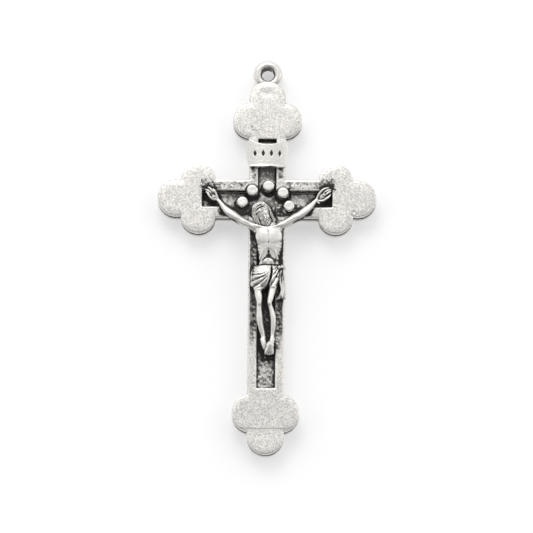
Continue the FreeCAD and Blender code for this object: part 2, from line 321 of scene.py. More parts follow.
def net_vertices(dist, axes, cells):
    """One vertex in each crossed cell: the mean of the crossings on its edges."""
    corners = list(np.ndindex(2, 2, 2))
    val, pos = {}, {}
    for o in corners:
        at = tuple(cells[:, i] + o[i] for i in range(3))
        val[o] = dist[at].astype(np.float64)
        pos[o] = np.stack([places[i] for places, i in zip(axes, at)], 1).astype(np.float64)
    total = np.zeros((len(cells), 3))
    count = np.zeros(len(cells))
    for o in corners:
        for ax in range(3):
            if o[ax] == 0:
                e = tuple(1 if i == ax else o[i] for i in range(3))
                crossed = (val[o] < 0) != (val[e] < 0)
                t = val[o] / np.where(crossed, val[o] - val[e], 1.0)
                crossing = pos[o] + (pos[e] - pos[o]) * t[:, None]
                total[crossed] += crossing[crossed]
                count[crossed] += 1
    return total / count[:, None]


def net_quads(inside, index):
    """A quad round every grid edge that passes through the surface."""
    quads = []
    for ax in range(3):
        b, c = (ax + 1) % 3, (ax + 2) % 3
        lo = [slice(None)] * 3
        hi = [slice(None)] * 3
        lo[ax], hi[ax] = slice(0, -1), slice(1, None)
        for i in (b, c):
            lo[i] = hi[i] = slice(1, -1)
        first, second = inside[tuple(lo)], inside[tuple(hi)]
        for flip, crossed in ((False, first & ~second), (True, second & ~first)):
            at = np.argwhere(crossed)
            if not len(at):
                continue
            at[:, b] += 1
            at[:, c] += 1
            four = []
            for db, dc in ((-1, -1), (0, -1), (0, 0), (-1, 0)):
                cell = at.copy()
                cell[:, b] += db
                cell[:, c] += dc
                four.append(index[tuple(cell.T)])
            faces = np.stack(four, 1)
            quads.append(faces[:, ::-1] if flip else faces)
    quads = np.concatenate(quads)
    return quads[(quads >= 0).all(1)]


def largest_piece(verts, quads):
    label = np.arange(len(verts))
    edges = quad_edges(quads)
    while True:
        low = np.minimum(label[edges[:, 0]], label[edges[:, 1]])
        new = label.copy()
        np.minimum.at(new, edges[:, 0], low)
        np.minimum.at(new, edges[:, 1], low)
        new = new[new]
        if (new == label).all():
            break
        label = new
    roots, counts = np.unique(label, return_counts=True)
    keep = label == roots[counts.argmax()]
    quads = quads[keep[quads[:, 0]]]
    return verts[keep], (np.cumsum(keep) - 1)[quads]


def skin(clay):
    """Surface nets: (vertices mm in x, h, z; quads). Only the largest piece is kept."""
    dist = clay.dist
    for ax in range(3):                       # soften what is finer than the grid can hold
        dist = np.moveaxis(dist, ax, 0)
        soft = dist.copy()
        soft[1:-1] = 0.25 * dist[:-2] + 0.5 * dist[1:-1] + 0.25 * dist[2:]
        dist = np.moveaxis(soft, 0, ax)
    inside = dist < 0
    count = np.zeros(tuple(s - 1 for s in dist.shape), np.uint8)
    for offset in np.ndindex(2, 2, 2):
        count += inside[tuple(slice(o, s - 1 + o) for o, s in zip(offset, dist.shape))]
    crossed = (count > 0) & (count < 8)
    cells = np.argwhere(crossed)
    index = np.full(crossed.shape, -1, np.int32)
    index[crossed] = np.arange(len(cells), dtype=np.int32)
    verts = net_vertices(dist, clay.axes, cells)
    verts, quads = largest_piece(verts, net_quads(inside, index))
    edges = quad_edges(quads)
    for share in (0.5, -0.45, 0.5, -0.45):    # in and out, so nothing shrinks
        verts = relax(verts, edges, share)
    return verts, quads


def shade_smooth(mesh):
    mesh.polygons.foreach_set("use_smooth", np.ones(len(mesh.polygons), bool))


def link_object(name, mesh):
    ob = bpy.data.objects.new(name, mesh)
    bpy.context.scene.collection.objects.link(ob)
    return ob


def quad_object(name, verts, quads):
    """A Blender object from millimetre (x, h, z) points; y is minus h."""
    co = np.stack([verts[:, 0], -verts[:, 1], verts[:, 2]], 1) * MM
    mesh = bpy.data.meshes.new(name)
    mesh.vertices.add(len(co))
    mesh.vertices.foreach_set("co", co.astype(np.float32).ravel())
    mesh.loops.add(len(quads) * 4)
    mesh.loops.foreach_set("vertex_index", quads.astype(np.int32).ravel())
    mesh.polygons.add(len(quads))
    mesh.polygons.foreach_set("loop_start", np.arange(0, len(quads) * 4, 4, dtype=np.int32))
    mesh.update(calc_edges=True)
    mesh.validate()
    # outward faces: the signed volume must be positive
    volume = 0.0
    for tri in (quads[:, :3], quads[:, [0, 2, 3]]):
        a, b, c = (co[tri[:, i]] for i in range(3))
        volume += np.einsum("ij,ij->i", a, np.cross(b, c)).sum()
    if volume < 0:
        mesh.flip_normals()
    shade_smooth(mesh)
    mesh.update()
    return link_object(name, mesh)


# ------------------------------------------------------------------ figure's body
def add_trunk(clay):
    # z, centre x, half width, mid height, front, back
    clay.add(barrel([
        (-20.15, 0.16, 0.95, 1.80, 0.50, 0.45), (-20.50, 0.17, 1.50, 1.80, 0.70, 0.48),
        (-20.90, 0.18, 1.80, 1.80, 0.86, 0.50), (-21.30, 0.20, 1.87, 1.79, 0.96, 0.49),
        (-21.80, 0.28, 1.77, 1.78, 1.02, 0.48), (-22.40, 0.32, 1.70, 1.78, 1.02, 0.48),
        (-23.10, 0.36, 1.62, 1.78, 0.96, 0.48), (-23.60, 0.37, 1.56, 1.78, 0.90, 0.48),
        (-24.10, 0.33, 1.44, 1.77, 0.82, 0.47), (-24.60, 0.30, 1.34, 1.76, 0.72, 0.46),
        (-25.20, 0.33, 1.29, 1.75, 0.66, 0.45), (-25.90, 0.31, 1.38, 1.75, 0.74, 0.45),
        (-26.80, 0.20, 1.50, 1.75, 0.86, 0.45), (-27.60, 0.10, 1.30, 1.75, 0.80, 0.45),
    ], 2.35), 0.15)
    # neck
    clay.limb([(0.10, 1.95, -20.95, 0.52), (-0.05, 2.00, -20.40, 0.46),
               (-0.35, 2.15, -19.80, 0.46)], 0.25)
    # breast muscles, belly, rib cage's lower edge
    for x in (-0.50, 1.00):
        clay.ball((x, 2.40, -22.08), (0.95, 0.27, 0.95), 0.30)
    clay.ball((0.27, 2.14, -24.55), (0.80, 0.36, 1.25), 0.30)
    for xs in ((0.02, -0.38, -0.66, -0.86), (0.52, 0.96, 1.22, 1.38)):
        clay.limb([(xs[0], 2.42, -23.52, 0.13), (xs[1], 2.38, -23.95, 0.14),
                   (xs[2], 2.26, -24.50, 0.13), (xs[3], 2.12, -25.00, 0.11)], 0.22)
    # hollow under the breastbone, and the lower belly's two swellings
    clay.cut(ellipsoid((0.25, 2.84, -24.28), (0.19, 0.42, 0.34)), 0.10)
    clay.cut(ellipsoid((0.26, 2.74, -24.74), (0.34, 0.36, 0.36)), 0.16)
    for x in (-0.14, 0.62):
        clay.ball((x, 2.30, -25.38), (0.30, 0.27, 0.36), 0.08)


def stout(rows):
    """Arm rows thickened and sagging between shoulder and wrist."""
    out = []
    for i, (x, h, z, radius) in enumerate(rows):
        w = math.sin(math.pi * min(1.0, i / (len(rows) - 1.5)))
        out.append((x, h, z - 0.15 * w, radius * (1 + 0.27 * w)))
    return out


def add_arms(clay):
    for rows in (
        [(-1.35, 1.88, -20.98, 0.60), (-1.78, 1.98, -20.68, 0.52), (-2.27, 2.02, -20.42, 0.455),
         (-2.93, 2.02, -20.10, 0.455), (-3.59, 1.98, -19.70, 0.435), (-4.25, 1.93, -19.24, 0.47),
         (-4.85, 1.90, -18.80, 0.45), (-5.24, 1.86, -18.48, 0.41), (-5.58, 1.82, -18.13, 0.345),
         (-6.00, 1.77, -17.60, 0.26), (-6.34, 1.74, -17.22, 0.235)],
        [(1.55, 1.88, -20.85, 0.60), (1.85, 1.98, -20.50, 0.52), (2.33, 2.02, -20.25, 0.455),
         (2.99, 2.02, -19.84, 0.43), (3.64, 1.98, -19.43, 0.45), (4.30, 1.93, -19.08, 0.475),
         (4.95, 1.90, -18.54, 0.465), (5.55, 1.84, -18.02, 0.40), (6.05, 1.79, -17.50, 0.29),
         (6.45, 1.75, -17.10, 0.245)],
    ):
        clay.limb(stout(rows), 0.18, steps=3)
    # collar bones
    for rows in (
        [(-1.55, 2.35, -20.62, 0.16), (-0.80, 2.52, -20.86, 0.15), (-0.05, 2.50, -21.00, 0.12)],
        [(1.80, 2.35, -20.48, 0.16), (1.10, 2.52, -20.80, 0.15), (0.45, 2.50, -21.00, 0.12)],
    ):
        clay.limb(rows, 0.16)


# Palm's centre, the (x, z) direction of its length, and its digits' rows
HANDS = (
    ((-6.90, 1.66, -16.66), (-0.71, 0.70), (
        [(-6.52, 1.74, -16.95, 0.15), (-6.68, 1.86, -16.45, 0.15), (-6.88, 1.96, -16.05, 0.135),
         (-7.06, 1.86, -15.84, 0.10)],
        [(-6.86, 1.70, -16.45, 0.13), (-7.14, 1.98, -16.08, 0.13), (-7.40, 1.96, -15.76, 0.115),
         (-7.60, 1.78, -15.60, 0.09)],
        [(-7.12, 1.70, -16.50, 0.12), (-7.42, 1.96, -16.20, 0.12), (-7.70, 1.92, -15.98, 0.11),
         (-7.90, 1.72, -15.86, 0.09)],
        [(-6.70, 1.70, -17.05, 0.16), (-7.10, 1.80, -17.00, 0.15), (-7.44, 1.88, -16.68, 0.13),
         (-7.64, 1.86, -16.34, 0.12), (-7.82, 1.70, -16.12, 0.09)],
    )),
    ((7.30, 1.66, -16.48), (0.71, 0.70), (
        [(6.60, 1.74, -16.82, 0.15), (6.88, 1.88, -16.28, 0.15), (7.25, 1.98, -15.86, 0.135),
         (7.62, 1.92, -15.66, 0.115), (7.95, 1.74, -15.55, 0.09)],
        [(7.22, 1.70, -16.30, 0.12), (7.58, 1.96, -16.06, 0.125), (7.92, 1.92, -15.86, 0.11),
         (8.18, 1.74, -15.76, 0.09)],
        [(7.38, 1.68, -16.62, 0.12), (7.70, 1.88, -16.34, 0.12), (7.98, 1.86, -16.10, 0.105),
         (8.20, 1.70, -15.98, 0.085)],
        [(6.80, 1.70, -17.10, 0.17), (7.28, 1.80, -17.10, 0.15), (7.72, 1.88, -16.84, 0.135),
         (8.02, 1.86, -16.58, 0.115), (8.16, 1.72, -16.32, 0.09)],
    )),
)
DIGIT_SCALE = 1.12        # digits are enlarged about the palm's centre


def add_hands(clay):
    """Palms to the front, fingers half closed."""
    scale = DIGIT_SCALE
    for palm, (dx, dz), digits in HANDS:
        own_axes = np.array([[dx, 0, -dz], [0, 1, 0], [dz, 0, dx]])
        clay.ball(palm, (0.65, 0.26, 0.47), 0.14, own_axes)
        for rows in digits:
            clay.limb([(palm[0] + scale * (x - palm[0]), h, palm[2] + scale * (z - palm[2]),
                        radius * scale) for x, h, z, radius in rows], 0.040, steps=3)
    # small spur at the +x wrist
    clay.limb([(6.55, 1.72, -17.28, 0.15), (6.72, 1.80, -17.48, 0.12),
               (6.86, 1.78, -17.52, 0.10)], 0.05)


def add_legs(clay):
    for rows in (
        [(-0.80, 2.00, -28.10, 0.64), (-1.06, 2.30, -29.25, 0.475), (-0.95, 2.50, -30.15, 0.455),
         (-0.90, 2.60, -30.95, 0.335), (-0.91, 2.52, -31.60, 0.305), (-0.88, 2.42, -32.20, 0.36),
         (-0.85, 2.34, -32.80, 0.40), (-0.78, 2.24, -33.45, 0.39), (-0.62, 2.12, -34.20, 0.355),
         (-0.42, 2.02, -34.95, 0.31), (-0.33, 1.98, -35.50, 0.29)],
        [(0.98, 2.00, -27.90, 0.62), (0.86, 2.25, -28.80, 0.465), (0.69, 2.45, -29.60, 0.43),
         (0.56, 2.58, -30.25, 0.385), (0.43, 2.68, -30.95, 0.30), (0.55, 2.62, -31.50, 0.265),
         (0.72, 2.52, -32.05, 0.31), (0.85, 2.44, -32.65, 0.36), (0.90, 2.36, -33.25, 0.36),
         (0.90, 2.27, -33.95, 0.33), (0.86, 2.20, -34.60, 0.285), (0.82, 2.18, -35.20, 0.25),
         (0.82, 2.22, -35.70, 0.28)],
    ):
        clay.limb(rows, 0.15, steps=3)
    # kneecaps
    clay.ball((-0.90, 2.78, -31.02), (0.20, 0.18, 0.27), 0.12)
    clay.ball((0.43, 2.84, -31.02), (0.19, 0.18, 0.26), 0.12)


def add_feet(clay):
    """The foot at -x lies behind; the one from +x crosses over it and shows its toes."""
    ankle = (0.15, 0.16, 0.17)
    clay.limb([(-0.33, 1.98, -35.50, 0.30), (-0.32, 2.06, -35.95, 0.35),
               (-0.12, 2.05, -36.60, 0.36), (0.08, 1.98, -37.10, 0.30)], 0.10, steps=3)
    clay.ball((-0.60, 2.05, -35.72), ankle, 0.08)
    for blend, rows in (
        (0.08, [(0.82, 2.22, -35.60, 0.29), (0.72, 2.36, -36.10, 0.36), (0.50, 2.42, -36.60, 0.43)]),
        (0.10, [(0.50, 2.42, -36.55, 0.42), (0.24, 2.38, -37.10, 0.36), (0.14, 2.32, -37.40, 0.30)]),
        (0.12, [(0.55, 2.42, -36.55, 0.42), (0.62, 2.38, -37.10, 0.40), (0.68, 2.30, -37.40, 0.34)]),
    ):
        clay.limb(rows, blend, steps=3)
    clay.ball((1.02, 2.26, -35.74), ankle, 0.08)
    for x, z, r in ((-0.02, -37.58, 0.155), (0.24, -37.66, 0.135), (0.47, -37.68, 0.125),
                    (0.69, -37.66, 0.12), (0.90, -37.58, 0.11)):
        clay.limb([(x * 0.92 + 0.06, 2.44, z + 0.34, r * 0.95), (x, 2.34, z, r),
                   (x, 2.20, z - 0.06, r * 0.8)], 0.035, steps=3)


def add_fold(clay, rows, rise):
    """A broad soft pleat on the hanging cloth, through (x, z, half width) rows."""
    out = []
    for x, z, w in spline(rows, 4):
        sheet = 1.98 - 0.035 * (-26.0 - z) - 0.55 * max(0.0, abs(x - 2.08) - 0.22)
        e = rise * min(1.0, w / 0.16)
        r = (w * w + e * e) / (2 * e)
        out.append((x, sheet + e - r, z, r))
    clay.limb(out, 0.03, steps=1)


def add_cloth(clay):
    """The waist cloth's wrapped mass, and its knot and hanging end at +x."""
    clay.add(barrel([
        (-25.97, 0.08, 1.56, 1.80, 0.86, 0.50), (-26.20, 0.04, 1.66, 1.80, 0.94, 0.50),
        (-26.60, -0.07, 1.80, 1.80, 1.00, 0.50), (-27.30, -0.25, 1.87, 1.80, 1.06, 0.50),
        (-28.00, -0.42, 1.76, 1.80, 1.04, 0.50), (-28.40, -0.53, 1.56, 1.80, 0.96, 0.50),
        (-28.70, -0.75, 1.16, 1.80, 0.84, 0.50), (-28.95, -0.80, 0.62, 1.80, 0.66, 0.40),
    ], 2.3), 0.04)
    clay.limb([(1.92, 1.72, -26.20, 0.42), (2.04, 1.66, -27.20, 0.40), (2.16, 1.62, -28.40, 0.40),
               (2.20, 1.60, -29.30, 0.40), (2.12, 1.56, -29.86, 0.42)], 0.05, steps=3, flat=0.75)
    clay.limb([(1.90, 1.60, -29.70, 0.30), (1.58, 1.56, -30.08, 0.22),
               (1.34, 1.54, -30.28, 0.13)], 0.10, steps=3)
    clay.limb([(2.26, 1.58, -29.70, 0.28), (2.34, 1.56, -30.06, 0.22),
               (2.42, 1.54, -30.26, 0.12)], 0.08, steps=3)
    for rise, rows in (
        (0.22, [(2.00, -25.95, 0.20), (1.90, -26.50, 0.20), (1.78, -27.20, 0.17),
                (1.78, -27.90, 0.15), (1.92, -28.70, 0.12), (2.00, -29.30, 0.10)]),
        (0.20, [(2.20, -25.98, 0.20), (2.28, -26.80, 0.19), (2.38, -27.80, 0.17),
                (2.44, -28.80, 0.17), (2.48, -29.60, 0.16), (2.46, -30.22, 0.12)]),
        (0.16, [(2.04, -26.90, 0.10), (2.08, -27.80, 0.12), (2.18, -28.80, 0.14),
                (2.16, -29.50, 0.15), (2.04, -30.00, 0.15)]),
        (0.18, [(1.96, -29.20, 0.12), (1.84, -29.70, 0.14), (1.60, -30.06, 0.13),
                (1.36, -30.26, 0.09)]),
    ):
        add_fold(clay, rows, rise)
    # knot
    clay.ball((1.96, 2.12, -26.14), (0.30, 0.30, 0.27), 0.05)
    clay.ball((2.27, 2.00, -26.16), (0.25, 0.27, 0.25), 0.03)
    clay.ball((1.70, 2.42, -26.22), (0.20, 0.20, 0.17), 0.03)


# ------------------------------------------------------------------ figure's head
HEAD_C = np.array([-0.56, 2.42, -19.26])
HEAD_SCALE = 1.07
HEAD_ROLL, HEAD_NOD, HEAD_TURN = (math.radians(a) for a in (-23.0, 16.0, 7.0))


def head_axes():
    """Columns: towards the viewer's right, out of the face, and to the crown, in (x, h, z)."""
    c, s = math.cos(HEAD_ROLL), math.sin(HEAD_ROLL)
    roll = np.array([[c, 0, s], [0, 1, 0], [-s, 0, c]])      # about h: crown to the viewer's left
    c, s = math.cos(HEAD_NOD), math.sin(HEAD_NOD)
    nod = np.array([[1, 0, 0], [0, c, s], [0, -s, c]])       # about x: crown towards the viewer
    c, s = math.cos(HEAD_TURN), math.sin(HEAD_TURN)
    turn = np.array([[c, s, 0], [-s, c, 0], [0, 0, 1]])      # about z
    return roll @ nod @ turn


HEAD_AXES = head_axes()


def on_head(u, v, w):
    """A place on the head: u to the viewer's right, v to the crown, w out of the face."""
    return HEAD_C + HEAD_AXES @ (HEAD_SCALE * np.array([u, w, v]))


def head_ellipsoid(centre, radii):
    """Ellipsoid with centre and radii in (u, v, w)."""
    u, v, w = (r * HEAD_SCALE for r in radii)
    return ellipsoid(on_head(*centre), (u, w, v), HEAD_AXES)


def head_tube(rows, steps=4):
    """Tube through (u, v, w, radius) rows."""
    return tube([(*on_head(u, v, w), r * HEAD_SCALE) for u, v, w, r in rows], steps)


def add_face(clay):
    """Skull and jaw, then a calm, closed-eyed face."""
    clay.add(head_ellipsoid((0.0, 0.38, -0.12), (1.03, 1.21, 1.02)), 0.05)
    clay.add(head_ellipsoid((0.0, -0.32, 0.18), (0.68, 0.95, 0.70)), 0.16)
    clay.add(head_ellipsoid((0.0, 0.16, 0.74), (0.52, 0.13, 0.17)), 0.10)           # brow
    for s in (-1, 1):
        # eye socket, lid, cheek, nostril
        clay.cut(head_ellipsoid((s * 0.27, -0.04, 1.02), (0.19, 0.13, 0.17)), 0.08)
        clay.add(head_ellipsoid((s * 0.27, -0.05, 0.76), (0.155, 0.095, 0.115)), 0.03)
        clay.add(head_ellipsoid((s * 0.42, -0.38, 0.60), (0.20, 0.22, 0.19)), 0.14)
        clay.add(head_ellipsoid((s * 0.095, -0.43, 0.92), (0.075, 0.065, 0.09)), 0.05)
    # nose, lips
    clay.add(head_tube([(0, 0.06, 0.82, 0.075), (0, -0.20, 0.93, 0.085),
                        (0, -0.42, 1.02, 0.105)]), 0.07)
    clay.add(head_ellipsoid((0, -0.66, 0.84), (0.15, 0.045, 0.08)), 0.03)
    clay.add(head_ellipsoid((0, -0.76, 0.82), (0.13, 0.050, 0.08)), 0.03)


def add_beard(clay):
    """Moustache and short parted beard."""
    # a tuft's u at the root, u near the tip, w at the root
    tufts = ((0.10, 0.08, 0.76), (0.25, 0.17, 0.70), (0.40, 0.27, 0.60), (0.54, 0.38, 0.46),
             (0.63, 0.50, 0.28))
    for s in (-1, 1):
        clay.add(head_tube([(s * 0.03, -0.55, 0.90, 0.060), (s * 0.19, -0.62, 0.86, 0.085),
                            (s * 0.33, -0.80, 0.76, 0.085), (s * 0.38, -1.02, 0.66, 0.060)]), 0.03)
        for i, (root, tip, w) in enumerate(tufts):
            clay.add(head_tube([
                (s * root, -0.86 + 0.06 * i, w, 0.11),
                (s * (root + 0.01), -1.12 + 0.05 * i, w - 0.04, 0.125),
                (s * tip, -1.44 + 0.09 * i, w - 0.16, 0.085),
                (s * (tip - 0.03), -1.62 + 0.12 * i, w - 0.28, 0.05)]), 0.035)


def on_scalp(s, degrees_out, angle):
    """A place on the skull: degrees away from the parting, then angle up from the brow."""
    out = math.radians(degrees_out)
    return (s * 1.03 * math.sin(out), 0.38 + 1.20 * math.cos(out) * math.sin(angle),
            -0.10 + 1.04 * math.cos(out) * math.cos(angle))


def lock_path(s, i):
    """(u, v, w, radius) rows of lock i on side s, from the parting to the shoulder."""
    t = i / 5.0
    angle = math.radians(24 + 82 * t)
    w = 0.47 - 0.92 * t
    u = 1.0 * math.sqrt(1 - ((w + 0.10) / 1.04) ** 2) + 0.02
    wave = math.sin(1.9 * i + 1.3 * s)
    flare = (0.44 if s > 0 else 0.02) * (0.6 + 0.4 * t)
    return [
        (*on_scalp(s, 3, angle), 0.055),
        (*on_scalp(s, 20, angle * 0.97), 0.075),
        (*on_scalp(s, 40, angle * 0.86 + 0.03 * wave), 0.085),
        (s * u * 0.985, 0.52 + 0.05 * wave, w + 0.04, 0.092),
        (s * (u + 0.030 * wave), 0.12, w + 0.02, 0.095),
        (s * (u - 0.01 - 0.035 * wave), -0.34, w - 0.05 + 0.03 * wave, 0.095),
        (s * (u - 0.03 + 0.045 * wave + flare * 0.35), -0.80, w - 0.12 - 0.03 * wave, 0.090),
        (s * (u - 0.12 - 0.030 * wave + flare), -1.22, w - 0.22, 0.075),
        (s * (u - 0.24 + 0.02 * wave + flare), -1.52 + 0.05 * wave, w - 0.31, 0.070),
    ]


def add_hair(clay):
    """Under-mass, then on each side six locks of two twisted strands."""
    twist_radius = 0.078
    for s in (-1, 1):
        clay.add(head_tube([(s * 0.74, 0.50, 0.16, 0.22), (s * 0.74, -0.10, 0.06, 0.24),
                            (s * 0.72, -0.60, 0.00, 0.25), (s * 0.68, -1.05, -0.06, 0.25),
                            (s * 0.62 + 0.10, -1.42, -0.16, 0.20)]), 0.08)
        for i in range(6):
            path = spline(lock_path(s, i), 4)
            for j in range(2):
                phase = 3.14 * j + 0.9 * i
                rows = []
                for m, (u, v, w, r) in enumerate(path):
                    du = twist_radius * math.cos(phase + 0.22 * m)
                    dw = twist_radius * math.sin(phase + 0.22 * m)
                    rows.append((*on_head(u + du, v + 0.3 * dw, w + dw), r * 1.15))
                clay.limb(rows, 0.016, steps=1)


def add_brow_band(clay):
    """Two strands twisted together round the brow."""
    ring = [(1.09 * math.sin(a), 0.60 + 0.06 * math.cos(a), 1.10 * math.cos(a) - 0.08)
            for a in np.linspace(-2.3, 2.3, 27)]
    for phase in (0.0, math.pi):
        rows = []
        for i, (u, v, w) in enumerate(ring):
            swell = 1 + 0.05 * math.cos(i * 1.25 + phase)
            rows.append((u * swell, v + 0.075 * math.sin(i * 1.25 + phase), w * swell, 0.066))
        clay.add(head_tube(rows, 2), 0.02)


# ------------------------------------------------------------------ figure's tooling
# Rows of (rise, width, points)
TRUNK_LINES = (
    (-0.055, 0.13, [(0.24, -20.95), (0.23, -21.6), (0.25, -22.4), (0.26, -23.2)]),
    (-0.036, 0.085, [(-1.15, -22.72), (-0.78, -22.98), (-0.35, -23.08), (0.10, -22.98)]),
    (-0.036, 0.085, [(1.80, -22.70), (1.35, -23.00), (0.90, -23.10), (0.42, -23.00)]),
)
WAIST_LINES = (
    (-0.03, 0.10, [(0.24, -25.05), (0.23, -25.75)]),
    (-0.10, 0.070, [(-1.30, -25.98), (-0.4, -25.92), (0.5, -25.93), (1.50, -25.98)]),
)
CLOTH_AND_LIMB_LINES = (
    # the cloth's -x edge, and the gap between its two panels
    (-0.13, 0.075, [(-1.72, -26.30), (-1.80, -26.9), (-1.86, -27.6), (-1.80, -28.2)]),
    (-0.30, 0.085, [(0.66, -26.02), (0.68, -26.78), (0.60, -27.45), (0.42, -28.1), (0.20, -28.6)]),
    # arms
    (-0.055, 0.08, [(-2.2, -20.65), (-3.0, -20.28), (-3.9, -19.78)]),
    (-0.045, 0.08, [(-4.35, -19.05), (-5.0, -18.72), (-5.5, -18.25)]),
    (-0.055, 0.08, [(2.3, -20.48), (3.1, -20.02), (3.9, -19.52)]),
    (-0.045, 0.08, [(4.4, -18.90), (5.1, -18.42), (5.7, -17.88)]),
    # shins, under the knees, thighs
    (0.040, 0.07, [(-0.98, -31.5), (-1.00, -32.4), (-0.86, -33.4), (-0.58, -34.5)]),
    (0.040, 0.07, [(0.55, -31.5), (0.78, -32.4), (0.86, -33.4), (0.84, -34.6)]),
    (-0.028, 0.09, [(-1.10, -31.42), (-0.90, -31.50), (-0.70, -31.42)]),
    (-0.028, 0.09, [(0.26, -31.38), (0.46, -31.48), (0.62, -31.38)]),
    (-0.035, 0.08, [(-1.25, -29.4), (-1.12, -30.3)]),
    (-0.035, 0.08, [(0.95, -29.3), (0.72, -30.2)]),
)
FAN_X, FAN_Z = 0.60, -26.20           # where the cloth's fan of pleats spreads from
PANEL_X, PANEL_Z = 1.75, -25.60       # the same for the panel beside it
CLOTH_TOP = -25.98


def gap_x(z):
    """Where the fan meets the second panel."""
    return np.interp(z, [-28.6, -28.1, -27.45, -26.78, -26.0], [0.24, 0.42, 0.60, 0.68, 0.66])


def fan_label(x, z):
    dx, dz = x - FAN_X, z - FAN_Z
    r = np.sqrt(dx * dx + dz * dz)
    angle = np.degrees(np.arctan2(-dz, -dx))
    return angle + 12.6 * (r - 2.76) + 2.2 * np.sin(2.6 * r + 0.05 * angle)


def fan_mask(x, z):
    dx, dz = x - FAN_X, z - FAN_Z
    r = np.sqrt(dx * dx + dz * dz)
    return (ramp(r, 0.10, 0.75) * ramp(gap_x(z) - x, 0.02, 0.16)
            * ramp(CLOTH_TOP - z, 0.0, 0.05) * ramp(x, -2.20, -1.86))


def panel_label(x, z):
    dx, dz = x - PANEL_X, z - PANEL_Z
    r = np.sqrt(dx * dx + dz * dz)
    return np.degrees(np.arctan2(-dx, -dz)) - 6.0 * (r - 2.0)


def panel_mask(x, z):
    return (ramp(x - gap_x(z), 0.03, 0.14) * ramp(CLOTH_TOP - z, 0.0, 0.05)
            * ramp(1.80 - x, 0.0, 0.12))


def tool(clay):
    strokes = Strokes(clay)
    strokes.lines(TRUNK_LINES)
    for z, rise in ((-23.25, -0.030), (-23.70, -0.032), (-24.15, -0.030)):       # ribs
        for xs in ((-1.28, -0.95, -0.62), (2.02, 1.66, 1.30)):
            strokes.line(rise, 0.075, [(xs[0], z + 0.14), (xs[1], z - 0.02), (xs[2], z - 0.02)])
    strokes.lines(WAIST_LINES)
    strokes.pleats(
        box=(-2.4, 0.9, -29.3, -25.9), label=fan_label,
        crests=(-26, -9, 5, 15, 33, 48, 60, 71, 83, 96),
        rises=(0.08, 0.12, 0.10, 0.16, 0.25, 0.17, 0.16, 0.14, 0.12, 0.08), mask=fan_mask)
    strokes.pleats(
        box=(0.1, 2.0, -29.0, -25.9), label=panel_label, crests=(-8, 7, 20, 33, 52, 75),
        rises=(0.10, 0.17, 0.22, 0.15, 0.17, 0.12), mask=panel_mask)
    strokes.lines(CLOTH_AND_LIMB_LINES)
    for x in (0.30, 0.50, 0.70):                                                # foot's tendons
        strokes.line(0.030, 0.05, [(0.62 + (x - 0.5) * 0.4, -36.2), (x, -37.15)])
    strokes.apply(clay)


# Bosses under the figure, down to the sunk field's floor: x, z, radius, top
POSTS = ((-6.98, -16.79, 0.42, 1.75), (7.39, -16.43, 0.42, 1.75), (0.55, -36.55, 0.50, 2.2),
         (0.10, -23.0, 0.80, 1.8), (-0.45, -27.4, 0.78, 1.8), (-0.50, -19.3, 0.62, 2.0))


def seat(clay):
    """Cut the figure's flat back at the rim and stand it on its posts."""
    X, H, Z = np.ix_(*clay.axes)
    body = np.maximum(clay.dist, RIM_H - 0.004 - H)
    for x, z, radius, top in POSTS:
        post = np.maximum(np.sqrt((X - x) ** 2 + (Z - z) ** 2) - radius,
                          np.maximum(H - top, 0.012 - H))
        body = np.minimum(body, post.astype(np.float32))
    clay.dist = body.astype(np.float32)


def sculpt_figure():
    clay = Clay(
        axis(-8.60, 8.72, 0.060, fine=(-2.15, 1.30, 0.036)),
        axis(-0.10, 3.85, 0.060, fine=(1.55, 3.85, 0.044)),
        axis(-38.25, -15.15, 0.060, fine=(-20.95, -17.45, 0.036)),
    )
    for part in (add_trunk, add_arms, add_hands, add_legs, add_feet, add_cloth,
                 add_face, add_beard, add_hair, add_brow_band, tool):
        part(clay)
    clay.ball((0.55, 2.58, -36.55), (0.44, 0.35, 0.50), 0.16)   # instep meets the nail's head
    seat(clay)
    return quad_object("corpus_figure", *skin(clay))


# ------------------------------------------------------------------ working on meshes
def triangle_count(ob):
    return sum(p.loop_total - 2 for p in ob.data.polygons)


def evaluated_mesh(ob):
    graph = bpy.context.evaluated_depsgraph_get()
    return bpy.data.meshes.new_from_object(ob.evaluated_get(graph))


def thin(ob, most):
    """Collapse the flattest triangles until the mesh holds no more than this many."""
    triangles = triangle_count(ob)
    if triangles <= most:
        return ob
    decimate = ob.modifiers.new("thin", "DECIMATE")
    decimate.ratio = most / triangles
    decimate.use_collapse_triangulate = True
    mesh = evaluated_mesh(ob)
    ob.modifiers.clear()
    old = ob.data
    ob.data = mesh
    bpy.data.meshes.remove(old)
    shade_smooth(mesh)
    return ob


LATTICE = np.random.default_rng(7).random((32, 32, 32)) * 2 - 1


def mottle(pos, grain, shift=0.0):
    """Smooth noise in -1..1 at points (mm); grain is its size in mm."""
    q = pos / grain + shift
    i = np.floor(q).astype(int)
    f = q - i
    f = f * f * (3 - 2 * f)
    out = np.zeros(len(pos))
    for corner in np.ndindex(2, 2, 2):
        wx, wy, wz = (f[:, n] if one else 1 - f[:, n] for n, one in enumerate(corner))
        x, y, z = ((i[:, n] + one) % 32 for n, one in enumerate(corner))
        out += wx * wy * wz * LATTICE[x, y, z]
    return out


def points(ob):
    """(positions in mm, normals) of an object's vertices."""
    out = []
    for name in ("co", "normal"):
        values = np.empty(len(ob.data.vertices) * 3, np.float32)
        ob.data.vertices.foreach_get(name, values)
        out.append(values.reshape(-1, 3).astype(float))
    return out[0] / MM, out[1]


def set_points(ob, pos):
    ob.data.vertices.foreach_set("co", (pos * MM).astype(np.float32).ravel())
    ob.data.update()


